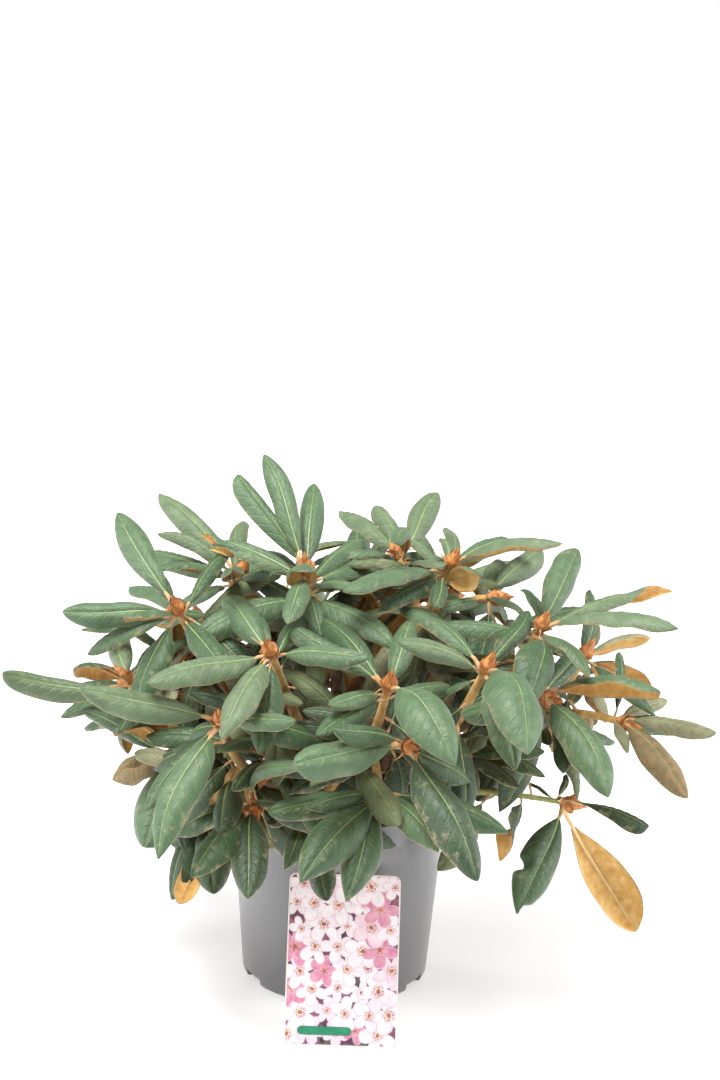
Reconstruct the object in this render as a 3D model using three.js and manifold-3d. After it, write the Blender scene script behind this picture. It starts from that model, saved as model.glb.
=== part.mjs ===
// A young rhododendron in its nursery pot, with its picture tag leaning on the pot.
// Millimetres, +Z up. The origin is the middle of the pot's underside and the front is -Y.
// Every mass of leaves grows by one seeded rule from the tip of its bough.

import * as THREE from "three";
import { mergeVertices } from "three/addons/utils/BufferGeometryUtils.js";
import Module from "manifold-3d";

const wasm = await Module();
wasm.setup();

// ---------------------------------------------------------------- driving dimensions

const GAP = 0.3; // between solids that meet

const POT_HEIGHT = 176;
const POT_BASE_RADIUS = 85.5;
const POT_TOP_RADIUS = 99;
const POT_WALL = 2;
const RIM_ROUNDING = 1.5; // the rim's outer corner is cut off over this height
const POT_BAND_HEIGHT = 26; // the thicker band under the rim
const POT_BAND_STEP = 0.6;
const POT_SIDES = 32;
const STANDING_DISC_RADIUS = 58;
const CHANNEL_HEIGHT = 7; // raised drainage channel round the standing disc
const CHANNEL_OUTER_RADIUS = 75;
const DISC_FLOOR = 2.4; // the top of the floor over the standing disc
const CHANNEL_FLOOR = 9.2; // and over the channel
const FOOT_COUNT = 6;
const FOOT_NOTCH_WIDTH = 26;
const FOOT_NOTCH_DEPTH = 20;
const DRAIN_RADIUS = 5;
const DRAIN_CIRCLE = 67.5; // the drain holes stand on a ring of this radius
const DRAIN_DEPTH = 10;
const DRAIN_SIDES = 6;

const SOIL_TOP = 158;
const SOIL_EDGE_DROP = 3;
const SOIL_FLAT_RADIUS = 32;

const TAG_WIDTH = 98;
const TAG_HEIGHT = 148;
const TAG_THICKNESS = 1;
const TAG_CORNER = 6;
const TAG_HOLE_RADIUS = 2.5;
const TAG_HOLE_DROP = 9; // below the top edge
const TAG_X = 8; // its middle stands a little to the right of the pot's
const TAG_LEAN = THREE.MathUtils.degToRad(62.6); // from the floor

const TRUNK_FOOT = [-4, 5];
const TRUNK_TOP = [2, 0, 196];
const TRUNK_RADII = [19, 13.5, 12, 11, 8.5]; // root flare to crotch
const TRUNK_LEVELS = [0, 0.12, 0.4, 0.85, 1];
const TRUNK_SIDES = 10;
const ROOT_RIDGE = 5; // every other corner of the foot runs out by this

const BOUGH_SIDES = 5;
const BOUGH_STEPS = 4;
const TWIG_SIDES = 3;
const TWIG_STEPS = 3;
const TWIG_TIP_RADIUS = 3.6;
const TWIG_BASE_RADIUS = 4.8;
const SIDE_TWIG_RADIUS = 4.1; // where a twig leaves another
const TWIG_ASPECT = [0.9, 0.4, 0]; // leaves are counted round a twig from square to this
const BUD_LENGTH = 24;
const BUD_BELLY = 9; // the widest place of a bud, above its foot
const BUD_RADIUS = 7.2;

const LEAF_WIDTH = 0.245; // of its length, for a level leaf
const RISE_NARROWING = 0.0012; // for each degree that a leaf rises
const LEAF_FOLD = 0.22; // how far the edges roll down, of the half width
const LEAF_THICKNESS = 1.5;
const WIDEST_RING = 0.48; // where a plain leaf is widest
const FULL_RINGS = [[0.4, 0.96], [0.73, 0.84]]; // a leaf that stands out is rounder
const PETIOLE_WIDTH = 3.4;
const BLADE_FOOT = 1.3; // the blade starts this much wider than its petiole
const ROOT_DEPTH = 4; // a stalk's root runs on past the twig's middle
const BLADE_START = 0.14; // the petiole ends here, as a share of the leaf
const CROWN_RADIUS = 250; // leaves on this ring face outward by OUTWARD_TILT
const OUTWARD_TILT = 1.0;
const GOLDEN_ANGLE = 137.5;
const MASS_SEEDS = 1000; // seeds from one mass to the next
const SHOOT_SEEDS = 100; // and from one shoot to the next
const WHORL_SEED = 40; // the whorl's seeds follow those of the leaves that stand out
const START_SEED = 99;
const DROOP = 0.14; // pulls every leaf's direction down
const LEAF_STEP = 2.2; // along the twig from one leaf to the next
const WHORL_STEPS = 10; // then the next round starts at the bud again
const WHORL_LENGTHS = [78, 116]; // shortest and longest
const WHORL_LIFTS = [-18, 26]; // degrees that a leaf of the whorl stands up from square
const STEEPEST = 42; // the most that a leaf of the whorl rises, degrees
const SHOWN_ARCHES = [0.05, 0.11];
const WHORL_ARCHES = [0.05, 0.12];
const FULL_LEAF = 70; // a leaf longer than this that stands out has full rings

const FIRST_FORK = 0.02; // where side twigs leave a mass's first twig
const FORK_STEP = 0.14;
const TWIG_BEND = 0.4; // how long a twig keeps its first direction
const BOUGH_BEND = [0.6, 0.34]; // where a bough bends, along its run and up its rise

// Turns of heading and rise that a leaf may take to find room.
const SMALL_TURNS = [[0, 0], [0, 4], [0, -4], [5, 0], [-5, 0], [6, 7], [-6, -7], [6, -7], [-6, 7],
  [0, 12], [0, -12], [12, 0], [-12, 0]];
const WIDE_TURNS = [[0, 0], [0, 10], [0, -10], [9, 5], [-9, -5], [9, -14], [-9, 14]];

// ---------------------------------------------------------------- the plant's plan

// Boughs: where each leaves its parent (0 to 1 along it), its tip and its two radii.
const BOUGHS = {
  bough_centre: { from: "trunk", at: 0.97, tip: [-24, -14, 300], radii: [8, 5.4] },
  bough_left: { from: "trunk", at: 0.8, tip: [-98, -18, 268], radii: [8, 5.4] },
  bough_right: { from: "trunk", at: 0.75, tip: [118, -34, 262], radii: [8, 5.4] },
  bough_front: { from: "trunk", at: 0.7, tip: [20, -98, 236], radii: [7.5, 5.4] },
  bough_back: { from: "trunk", at: 0.72, tip: [-8, 96, 262], radii: [8, 5.4] },
  bough_front_left: { from: "trunk", at: 0.55, tip: [-66, -84, 214], radii: [7, 5.4] },
  bough_back_right: { from: "trunk", at: 0.5, tip: [88, 66, 232], radii: [7.5, 5.4] },
  bough_back_left: { from: "trunk", at: 0.48, tip: [-92, 62, 226], radii: [7.5, 5.4] },
  bough_low_right: { from: "trunk", at: 0.42, tip: [98, -52, 195], radii: [6.5, 5] },
  bough_far_left: { from: "bough_left", at: 0.5, tip: [-112, -44, 232], radii: [6, 5] },
  bough_mid_left: { from: "bough_front", at: 0.35, tip: [-34, -84, 262], radii: [6, 5] },
  bough_right_top: { from: "bough_centre", at: 0.45, tip: [58, -4, 304], radii: [6.5, 5] },
  bough_right_front: { from: "bough_right", at: 0.4, tip: [86, -78, 250], radii: [6.5, 5] },
  bough_far_right: { from: "bough_right", at: 0.62, tip: [160, 4, 240], radii: [6, 5] },
  bough_back_top: { from: "bough_back", at: 0.5, tip: [34, 62, 306], radii: [6.5, 5] },
  bough_far_back: { from: "bough_back", at: 0.4, tip: [20, 118, 222], radii: [6, 5] },
};

// Masses: the bough each grows from and its shoots. A shoot has the place of its bud, how many
// leaves it carries, and the leaves that stand out there as [heading, rise, length, oddities]:
// roll turns a leaf's face to the front, arch bends it up, width is a share of its length.
const MASSES = {
  leaves_crown_top: { bough: "bough_centre", shoots: [
    { bud: [-35, -30, 386], count: 14, leaves: [[117, 46, 126], [138, 40, 118], [86, 37, 112],
      [154, 16, 112, { roll: 25, width: 0.18 }], [178, 22, 92, { width: 0.18 }], [42, 1, 104], [60, 12, 95],
      [321, 15, 60], [240, 50, 48, { roll: -20, width: 0.6 }], [285, -22, 56, { width: 0.42 }],
      [317, -11, 108], [213, -11, 122, { roll: 15 }]] },
  ] },
  leaves_left_top: { bough: "bough_left", shoots: [
    { bud: [-144, -60, 357], count: 9, leaves: [[129, 28, 128], [188, -2, 102, { roll: 42 }],
      [229, 10, 72], [60, 30, 92], [297, -11, 92]] },
    { bud: [-98, 20, 367], count: 10, leaves: [[134, 28, 125], [224, 15, 88], [89, 26, 90],
      [303, 23, 75], [137, 6, 110]] },
  ] },
  leaves_far_left: { bough: "bough_far_left", shoots: [
    { bud: [-189, -40, 283], count: 7, leaves: [[188, 5, 112, { roll: 30, arch: -0.1 }],
      [104, 11, 105], [78, 12, 100], [50, -24, 80]] },
    { bud: [-151, -60, 223], count: 9, leaves: [[261, -30, 102, { roll: 40, width: 0.38 }],
      [163, 22, 92, { roll: 30 }], [259, 8, 62], [279, -66, 108, { width: 0.22 }],
      [229, -7, 60], [186, -28, 66, { roll: 30, width: 0.4 }]] },
    { bud: [-148, 14, 288], count: 9, leaves: [[300, -6, 60]] },
  ] },
  leaves_front_left: { bough: "bough_front_left", shoots: [
    { bud: [-99, -170, 296], count: 6, leaves: [[205, 17, 128, { roll: 20 }],
      [241, -38, 132, { width: 0.27, arch: 0.13 }], [326, 18, 80], [128, -28, 60]] },
    { bud: [-73, -150, 216], count: 7, leaves: [[242, -14, 104, { width: 0.31 }],
      [275, -23, 108, { width: 0.29 }], [314, 12, 44]] },
    { bud: [-110, -90, 195], count: 5, leaves: [[274, -30, 98, { width: 0.34 }],
      [255, -46, 100, { roll: -150, width: 0.2 }]] },
  ] },
  leaves_mid_left: { bough: "bough_mid_left", shoots: [
    { bud: [-60, -130, 343], count: 7, leaves: [[219, -1, 122, { roll: 10 }], [252, -19, 112],
      [325, 12, 98], [111, 22, 60], [73, 15, 78]] },
    { bud: [-62, -112, 238], count: 9, leaves: [[78, 20, 78, { width: 0.45 }], [321, 17, 66]] },
  ] },
  leaves_front: { bough: "bough_front", shoots: [
    { bud: [38, -150, 322], count: 7, leaves: [[299, -11, 122, { width: 0.35, arch: 0.2 }], [119, 18, 118],
      [75, 25, 100], [230, 11, 78], [235, -4, 96], [44, -2, 80]] },
    { bud: [55, -185, 286], count: 4, leaves: [[293, -28, 142, { width: 0.27, arch: 0.12 }],
      [224, 5, 118, { roll: 10, width: 0.28 }], [226, 24, 92]] },
    { bud: [35, -165, 232], count: 7, leaves: [[239, -12, 128, { width: 0.3 }],
      [255, -25, 112, { width: 0.3 }], [225, 3, 80], [301, -10, 98]] },
    { bud: [-23, -125, 198], count: 6, leaves: [[227, 8, 52], [250, -22, 70]] },
  ] },
  leaves_right_front: { bough: "bough_right_front", shoots: [
    { bud: [120, -120, 331], count: 6, leaves: [[285, -11, 128, { width: 0.38, arch: 0.2 }], [126, 16, 118],
      [213, 27, 98], [56, 26, 92], [140, -29, 60]] },
    { bud: [107, -80, 238], count: 7, leaves: [[314, 19, 96, { roll: 25 }], [311, 2, 76],
      [280, -9, 60]] },
  ] },
  leaves_right_top: { bough: "bough_right_top", shoots: [
    { bud: [48, 30, 388], count: 8, leaves: [[107, 17, 92], [71, 20, 112], [128, 13, 108],
      [307, 14, 60]] },
    { bud: [91, -10, 391], count: 8, leaves: [[323, 22, 120], [49, 11, 85], [94, 33, 48],
      [219, 2, 122, { roll: -12 }], [222, -10, 85], [261, -6, 62], [127, 18, 62],
      [320, 22, 46, { roll: -70, width: 0.6 }]] },
    { bud: [129, 10, 358], count: 5, leaves: [[80, 14, 80, { width: 0.3 }],
      [57, 15, 106, { width: 0.26 }], [301, 5, 62], [233, 4, 60]] },
  ] },
  leaves_right: { bough: "bough_right", shoots: [
    { bud: [169, -60, 351], count: 7, leaves: [[69, 26, 118, { width: 0.26 }], [325, 14, 138],
      [26, 11, 140, { roll: -22, width: 0.2 }], [264, -17, 96, { width: 0.4, arch: 0.18 }]] },
    { bud: [174, -70, 293], count: 6, leaves: [[296, -18, 132, { roll: 25, arch: 0.13 }],
      [322, 18, 126, { roll: -20 }], [32, -51, 98]] },
  ] },
  leaves_far_right: { bough: "bough_far_right", shoots: [
    { bud: [217, 20, 300], count: 7, leaves: [[43, 4, 92, { roll: -80 }], [35, -26, 108, { roll: -80 }],
      [68, 14, 85], [78, 27, 95], [50, -49, 86]] },
    { bud: [251, -10, 252], count: 6, leaves: [[313, 12, 112, { roll: 70 }], [299, -18, 112, { roll: 35 }],
      [39, 8, 68], [82, 43, 72], [285, -10, 62], [24, -14, 90]] },
  ] },
  leaves_low_right: { bough: "bough_low_right", shoots: [
    { bud: [199, -60, 192], count: 5, leaves: [[247, -30, 125], [2, -58, 142, { roll: -120, width: 0.27 }],
      [338, -4, 84], [61, 30, 34], [131, 13, 34]] },
  ] },
  leaves_back_top: { bough: "bough_back_top", shoots: [
    { bud: [6, 78, 350], count: 11, leaves: [[88, 14, 108]] },
    { bud: [92, 96, 334], count: 10, leaves: [[48, 10, 104]] },
  ] },
  leaves_back: { bough: "bough_back", shoots: [
    { bud: [-62, 112, 324], count: 11, leaves: [[118, 8, 116]] },
    { bud: [-26, 182, 286], count: 11, leaves: [[102, 0, 120]] },
    { bud: [48, 172, 296], count: 11, leaves: [[70, 2, 116]] },
  ] },
  leaves_back_left: { bough: "bough_back_left", shoots: [
    { bud: [-136, 92, 298], count: 10, leaves: [[132, 6, 112]] },
    { bud: [-116, 158, 254], count: 10, leaves: [[124, -8, 120]] },
    { bud: [-160, 76, 214], count: 9, leaves: [[158, -16, 104]] },
  ] },
  leaves_back_right: { bough: "bough_back_right", shoots: [
    { bud: [156, 112, 294], count: 10, leaves: [[40, 4, 112]] },
    { bud: [118, 168, 260], count: 10, leaves: [[60, -8, 120]] },
    { bud: [166, 84, 212], count: 9, leaves: [[22, -14, 112]] },
  ] },
  leaves_far_back: { bough: "bough_far_back", shoots: [
    { bud: [48, 186, 220], count: 10, leaves: [[80, -18, 118]] },
    { bud: [-52, 172, 212], count: 10, leaves: [[112, -22, 118]] },
  ] },
};

// ---------------------------------------------------------------- small helpers

const rad = THREE.MathUtils.degToRad;
const UP = new THREE.Vector3(0, 0, 1);

// mulberry32: the same run of numbers for the same seed.
function seeded(seed) {
  let state = seed >>> 0;
  return () => {
    state = (state + 0x6d2b79f5) >>> 0;
    let word = state;
    word = Math.imul(word ^ (word >>> 15), word | 1);
    word ^= word + Math.imul(word ^ (word >>> 7), word | 61);
    return ((word ^ (word >>> 14)) >>> 0) / 4294967296;
  };
}

function between([low, high], share) {
  return low + (high - low) * share;
}

function direction(heading, rise) {
  const flat = Math.cos(rad(rise));
  return new THREE.Vector3(
    flat * Math.cos(rad(heading)), flat * Math.sin(rad(heading)), Math.sin(rad(rise)));
}

// The closed body of a three.js geometry, with its faces turned outward.
function solidOf(geometry) {
  const bare = geometry.clone();
  bare.deleteAttribute("normal");
  bare.deleteAttribute("uv");
  const merged = mergeVertices(bare, 1e-4);
  const places = merged.attributes.position;
  const corners = [];
  for (let i = 0; i < merged.index.count; i += 3) {
    const face = [0, 1, 2].map((k) => merged.index.getX(i + k));
    if (new Set(face).size === 3) corners.push(...face);
  }
  const [a, b, c] = [new THREE.Vector3(), new THREE.Vector3(), new THREE.Vector3()];
  let volume = 0;
  for (let i = 0; i < corners.length; i += 3) {
    a.fromBufferAttribute(places, corners[i]);
    b.fromBufferAttribute(places, corners[i + 1]);
    c.fromBufferAttribute(places, corners[i + 2]);
    volume += a.dot(b.cross(c));
  }
  if (volume < 0) corners.reverse();
  return new wasm.Manifold(new wasm.Mesh({
    numProp: 3, vertProperties: new Float32Array(places.array), triVerts: new Uint32Array(corners),
  }));
}

// A body skinned over rings of equal count; a ring of one point is a tip.
function skin(rings) {
  const points = rings.flat();
  const starts = [];
  let next = 0;
  for (const ring of rings) {
    starts.push(next);
    next += ring.length;
  }
  const faces = [];
  for (let r = 0; r + 1 < rings.length; r++) {
    const sides = Math.max(rings[r].length, rings[r + 1].length);
    for (let k = 0; k < sides; k++) {
      const low = [k, (k + 1) % sides].map((i) => starts[r] + (i % rings[r].length));
      const high = [k, (k + 1) % sides].map((i) => starts[r + 1] + (i % rings[r + 1].length));
      if (low[0] !== low[1]) faces.push(low[0], low[1], high[1]);
      if (high[0] !== high[1]) faces.push(low[0], high[1], high[0]);
    }
  }
  const lastRing = rings.length - 1;
  for (let k = 1; k + 1 < rings[0].length; k++) {
    faces.push(starts[0], starts[0] + k + 1, starts[0] + k);
  }
  for (let k = 1; k + 1 < rings[lastRing].length; k++) {
    faces.push(starts[lastRing], starts[lastRing] + k, starts[lastRing] + k + 1);
  }
  const geometry = new THREE.BufferGeometry();
  geometry.setAttribute("position", new THREE.Float32BufferAttribute(
    points.flatMap((p) => [p.x, p.y, p.z]), 3));
  geometry.setIndex(faces);
  return geometry;
}

function geometryOf(solid) {
  const mesh = solid.getMesh();
  const geometry = new THREE.BufferGeometry();
  geometry.setAttribute("position", new THREE.Float32BufferAttribute(mesh.vertProperties, 3));
  geometry.setIndex(Array.from(mesh.triVerts));
  geometry.computeVertexNormals();
  return geometry;
}

// The biggest piece of a body that a cut left in several.
function mainPiece(solid) {
  const pieces = solid.decompose();
  return pieces.reduce((best, piece) => (piece.volume() > best.volume() ? piece : best));
}

// ---------------------------------------------------------------- pot, soil and tag

function wallRadius(z) {
  return POT_BASE_RADIUS + ((POT_TOP_RADIUS - POT_BASE_RADIUS) * z) / POT_HEIGHT;
}

function lathe(profile) {
  const points = profile.map(([r, z]) => new THREE.Vector2(r, z));
  return new THREE.LatheGeometry(points, POT_SIDES).rotateX(Math.PI / 2);
}

function potSolid() {
  const bandFoot = POT_HEIGHT - POT_BAND_HEIGHT;
  const profile = [
    [0, 0], [STANDING_DISC_RADIUS, 0], [STANDING_DISC_RADIUS + 2, CHANNEL_HEIGHT],
    [CHANNEL_OUTER_RADIUS, CHANNEL_HEIGHT], [CHANNEL_OUTER_RADIUS + 2, 0],
    [POT_BASE_RADIUS - 2, 0], [wallRadius(3), 3], [wallRadius(bandFoot), bandFoot],
    [wallRadius(bandFoot) + POT_BAND_STEP, bandFoot + 1],
    [POT_TOP_RADIUS + POT_BAND_STEP, POT_HEIGHT - RIM_ROUNDING], [POT_TOP_RADIUS - 0.5, POT_HEIGHT],
    [POT_TOP_RADIUS - POT_WALL, POT_HEIGHT - 1],
    [wallRadius(CHANNEL_FLOOR) - POT_WALL, CHANNEL_FLOOR],
    [STANDING_DISC_RADIUS, CHANNEL_FLOOR], [STANDING_DISC_RADIUS - 2, DISC_FLOOR], [0, DISC_FLOOR],
  ];
  let pot = solidOf(lathe(profile));
  for (let foot = 0; foot < FOOT_COUNT; foot++) {
    const turn = ((foot + 0.5) * 2 * Math.PI) / FOOT_COUNT;
    const notch = new THREE.BoxGeometry(FOOT_NOTCH_DEPTH, FOOT_NOTCH_WIDTH, 2 * CHANNEL_HEIGHT);
    notch.translate(POT_BASE_RADIUS - 3, 0, -0.5).rotateZ(turn);
    const drain = new THREE.CylinderGeometry(DRAIN_RADIUS, DRAIN_RADIUS, DRAIN_DEPTH, DRAIN_SIDES);
    drain.rotateX(Math.PI / 2).translate(DRAIN_CIRCLE, 0, CHANNEL_FLOOR - 1).rotateZ(turn);
    pot = pot.subtract(solidOf(notch)).subtract(solidOf(drain));
  }
  return pot;
}

function soilSolid() {
  const bottom = CHANNEL_FLOOR + GAP;
  const edge = SOIL_TOP - SOIL_EDGE_DROP;
  return solidOf(lathe([
    [0, DISC_FLOOR + GAP], [STANDING_DISC_RADIUS - 3, DISC_FLOOR + GAP],
    [STANDING_DISC_RADIUS - 1, bottom], [wallRadius(bottom) - POT_WALL - 2 * GAP, bottom],
    [wallRadius(edge) - POT_WALL - 2 * GAP, edge], [SOIL_FLAT_RADIUS, SOIL_TOP], [0, SOIL_TOP],
  ]));
}

function tagGeometry() {
  const [w, h, r] = [TAG_WIDTH / 2, TAG_HEIGHT, TAG_CORNER];
  const outline = new THREE.Shape();
  outline.absarc(w - r, r, r, -Math.PI / 2, 0);
  outline.absarc(w - r, h - r, r, 0, Math.PI / 2);
  outline.absarc(r - w, h - r, r, Math.PI / 2, Math.PI);
  outline.absarc(r - w, r, r, Math.PI, 1.5 * Math.PI);
  const hole = new THREE.Path();
  hole.absarc(0, h - TAG_HOLE_DROP, TAG_HOLE_RADIUS, 0, 2 * Math.PI);
  outline.holes.push(hole);
  return new THREE.ExtrudeGeometry(outline,
    { depth: TAG_THICKNESS, bevelEnabled: false, curveSegments: 3 });
}

// ---------------------------------------------------------------- trunk, boughs and twigs

// The rings of a limb. Its curve lies in a plane, so they never twist.
function limbRings(curve, radii, sides, steps, swell = 0) {
  const chord = curve.v2.clone().sub(curve.v0);
  const side = curve.v1.clone().sub(curve.v0).cross(chord);
  if (side.length() < 1e-3 * chord.length()) side.set(chord.z, 0, -chord.x);
  side.normalize();
  return Array.from({ length: steps + 1 }, (_, step) => {
    const t = step / steps;
    const tangent = curve.getTangent(t);
    const out = new THREE.Vector3().crossVectors(side, tangent).normalize();
    return ringAt(curve.getPoint(t), side, out, radii[0] + (radii[1] - radii[0]) * t + swell, sides);
  });
}

function ringAt(centre, side, out, radius, sides) {
  return Array.from({ length: sides }, (_, k) => {
    const turn = (2 * Math.PI * k) / sides;
    return centre.clone().addScaledVector(out, radius * Math.cos(turn))
      .addScaledVector(side, radius * Math.sin(turn));
  });
}

function boughSolid(curve, radii, swell = 0) {
  return solidOf(skin(limbRings(curve, radii, BOUGH_SIDES, BOUGH_STEPS, swell)));
}

// A twig and the pointed bud that it ends in.
function twigSolid(shoot, baseRadius) {
  const rings = limbRings(shoot.twig, [baseRadius, TWIG_TIP_RADIUS], TWIG_SIDES, TWIG_STEPS);
  const last = rings[rings.length - 1];
  const up = (height) => shoot.bud.clone().addScaledVector(shoot.axis, height);
  rings.push(last.map((corner) => corner.clone().sub(shoot.bud)
    .multiplyScalar(BUD_RADIUS / TWIG_TIP_RADIUS).add(up(BUD_BELLY))));
  rings.push([up(BUD_LENGTH)]);
  return solidOf(skin(rings));
}

function trunkPoint(t) {
  const foot = new THREE.Vector3(...TRUNK_FOOT, SOIL_TOP + GAP);
  return foot.lerp(new THREE.Vector3(...TRUNK_TOP), t);
}

function trunkSolid(swell = 0) {
  const rings = TRUNK_LEVELS.map((level, i) => {
    const centre = trunkPoint(level);
    return Array.from({ length: TRUNK_SIDES }, (_, k) => {
      const turn = (2 * Math.PI * k) / TRUNK_SIDES;
      const root = i === 0 && k % 2 === 0 ? ROOT_RIDGE : 0;
      const radius = TRUNK_RADII[i] + root + swell;
      return centre.clone().add(
        new THREE.Vector3(radius * Math.cos(turn), radius * Math.sin(turn), 0));
    });
  });
  return solidOf(skin(rings));
}

// Every bough with its curve, cut clear of the limbs made before it.
function growBoughs() {
  const curves = {};
  const bodies = { trunk: trunkSolid() };
  const swollen = [trunkSolid(GAP)];
  for (const [name, bough] of Object.entries(BOUGHS)) {
    const start = bough.from === "trunk" ? trunkPoint(bough.at) : curves[bough.from].getPoint(bough.at);
    const tip = new THREE.Vector3(...bough.tip);
    const bend = start.clone().lerp(tip, BOUGH_BEND[0]);
    bend.z = start.z + BOUGH_BEND[1] * (tip.z - start.z);
    curves[name] = new THREE.QuadraticBezierCurve3(start, bend, tip);
    let body = boughSolid(curves[name], bough.radii);
    for (const other of swollen) body = body.subtract(other);
    bodies[name] = mainPiece(body);
    swollen.push(boughSolid(curves[name], bough.radii, GAP));
  }
  return { curves, bodies };
}

// ---------------------------------------------------------------- leaves

// A leaf's own axes: along it, the way its face looks, and across it.
function leafFrame(leaf) {
  const along = direction(leaf.heading, leaf.rise);
  const middle = leaf.root.clone().addScaledVector(along, leaf.length / 2);
  const face = new THREE.Vector3(
    (OUTWARD_TILT * middle.x) / CROWN_RADIUS, (OUTWARD_TILT * middle.y) / CROWN_RADIUS, 1);
  face.addScaledVector(along, -face.dot(along)).normalize();
  face.applyAxisAngle(along, rad(along.x < 0 ? -leaf.roll : leaf.roll));
  return { along, face, across: new THREE.Vector3().crossVectors(along, face) };
}

function midribPoint(leaf, frame, t) {
  const lift = 4 * t * (1 - t) * leaf.arch * leaf.length;
  return leaf.root.clone().addScaledVector(frame.along, t * leaf.length)
    .addScaledVector(frame.face, lift);
}

function leafRing(leaf, frame, t, halfWidth, thickness) {
  const slope = frame.along.clone().addScaledVector(frame.face, 4 * (1 - 2 * t) * leaf.arch);
  const normal = new THREE.Vector3().crossVectors(frame.across, slope).normalize();
  const middle = midribPoint(leaf, frame, t);
  const edge = (side) => middle.clone().addScaledVector(frame.across, side * halfWidth)
    .addScaledVector(normal, -LEAF_FOLD * halfWidth);
  return [edge(-1), edge(1), middle.clone().addScaledVector(normal, thickness)];
}

// A leaf, or with a start its blade alone, made fatter by swell for the tests.
function leafSolid(leaf, start = 0, swell = 0) {
  const frame = leafFrame(leaf);
  const half = (leaf.width * leaf.length) / 2 + swell;
  const thick = LEAF_THICKNESS + 2 * swell;
  const stalk = PETIOLE_WIDTH / 2 + swell;
  const rings = [leafRing(leaf, frame, BLADE_START, BLADE_FOOT * stalk, thick)];
  if (start === 0) rings.unshift([leaf.root.clone().addScaledVector(frame.along, -ROOT_DEPTH)]);
  const middle = leaf.shown ? FULL_RINGS : [[WIDEST_RING, 1]];
  for (const [t, share] of middle) rings.push(leafRing(leaf, frame, t, share * half, thick));
  rings.push([midribPoint(leaf, frame, 1)]);
  return solidOf(skin(rings));
}

// ---------------------------------------------------------------- room for each leaf

// Every solid so far, with its node, its shoot if it has one, and a leaf's blade apart.
const placed = [];

function remember(node, shoot, body, blade = null) {
  placed.push({ node, shoot, body, blade, box: body.boundingBox() });
}

function touches(test, choose) {
  const box = test.boundingBox();
  return placed.some((other) => {
    const apart = [0, 1, 2].some((i) => box.min[i] > other.box.max[i] || other.box.min[i] > box.max[i]);
    const body = apart ? null : choose(other);
    return body !== null && !test.intersect(body).isEmpty();
  });
}

// A leaf is kept where its blade is clear of all but its own twig, and its petiole of other nodes.
function isFree(leaf, node, shoot) {
  const nearby = (other) => {
    if (other.node !== node) return other.body;
    return other.shoot === shoot ? other.blade : other.blade ?? other.body;
  };
  if (touches(leafSolid(leaf, BLADE_START, GAP), nearby)) return false;
  return !touches(leafSolid(leaf, 0, GAP), (other) => (other.node === node ? null : other.body));
}

// Tries the leaf where it should be and then in turns nearby, and grows it if one is free.
function growLeaf(leaf, node, shoot, turns) {
  for (const [heading, rise] of turns) {
    const turned = { ...leaf, heading: leaf.heading + heading, rise: leaf.rise + rise };
    if (isFree(turned, node, shoot)) {
      remember(node, shoot, leafSolid(turned), leafSolid(turned, BLADE_START));
      shoot.leaves += 1;
      return;
    }
  }
}

// ---------------------------------------------------------------- growing the crown

// Each mass's twigs: the first goes on from the bough's tip and the others branch from it.
function growShoots(curves) {
  const shoots = [];
  Object.entries(MASSES).forEach(([node, mass], index) => {
    const bough = curves[mass.bough];
    let leader = null;
    mass.shoots.forEach(({ bud, count, leaves }, k) => {
      const place = new THREE.Vector3(...bud);
      const fork = FIRST_FORK + FORK_STEP * k;
      const toward = leader ? leader.getTangent(fork) : bough.getTangent(1);
      const start = leader ? leader.getPoint(fork) : bough.getPoint(1).addScaledVector(toward, GAP);
      const bend = start.clone().addScaledVector(toward, TWIG_BEND * start.distanceTo(place));
      const twig = new THREE.QuadraticBezierCurve3(start, bend, place);
      const axis = twig.getTangent(1);
      const side = axis.clone().cross(new THREE.Vector3(...TWIG_ASPECT)).normalize();
      const out = side.clone().cross(axis);
      const seed = MASS_SEEDS * (index + 1) + SHOOT_SEEDS * k;
      const shoot = { node, seed, twig, bud: place, axis, side, out, count, shown: leaves, leaves: 0 };
      remember(node, shoot, twigSolid(shoot, leader ? SIDE_TWIG_RADIUS : TWIG_BASE_RADIUS));
      shoots.push(shoot);
      leader ??= twig;
    });
  });
  return shoots;
}

// The rising leaves are this year's and narrower.
function widthAt(rise) {
  return LEAF_WIDTH - RISE_NARROWING * rise;
}

function growShownLeaves(shoot) {
  shoot.shown.forEach(([heading, rise, length, oddities], k) => {
    const root = shoot.bud.clone().addScaledVector(shoot.axis, -LEAF_STEP * k);
    const arch = between(SHOWN_ARCHES, seeded(shoot.seed + k)());
    const leaf = { root, heading, rise, length, roll: 0, arch, width: widthAt(rise), ...oddities };
    growLeaf({ ...leaf, shown: length > FULL_LEAF }, shoot.node, shoot, SMALL_TURNS);
  });
}

// A leaf of the whorl: a golden angle on from the last, spread round the twig and drooping.
function whorlLeaf(shoot, k) {
  const random = seeded(shoot.seed + WHORL_SEED + k);
  const root = shoot.bud.clone().addScaledVector(shoot.axis, -LEAF_STEP * (k % WHORL_STEPS));
  const length = between(WHORL_LENGTHS, random());
  const lift = rad(between(WHORL_LIFTS, random()));
  const turn = rad(GOLDEN_ANGLE * k) + shoot.start;
  const along = shoot.side.clone().multiplyScalar(Math.cos(turn) * Math.cos(lift))
    .addScaledVector(shoot.out, Math.sin(turn) * Math.cos(lift))
    .addScaledVector(shoot.axis, Math.sin(lift)).addScaledVector(UP, -DROOP).normalize();
  const heading = THREE.MathUtils.radToDeg(Math.atan2(along.y, along.x));
  const rise = Math.min(STEEPEST, THREE.MathUtils.radToDeg(Math.asin(along.z)));
  const arch = between(WHORL_ARCHES, random());
  return { root, heading, rise, length, roll: 0, arch, width: widthAt(rise) };
}

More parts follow.
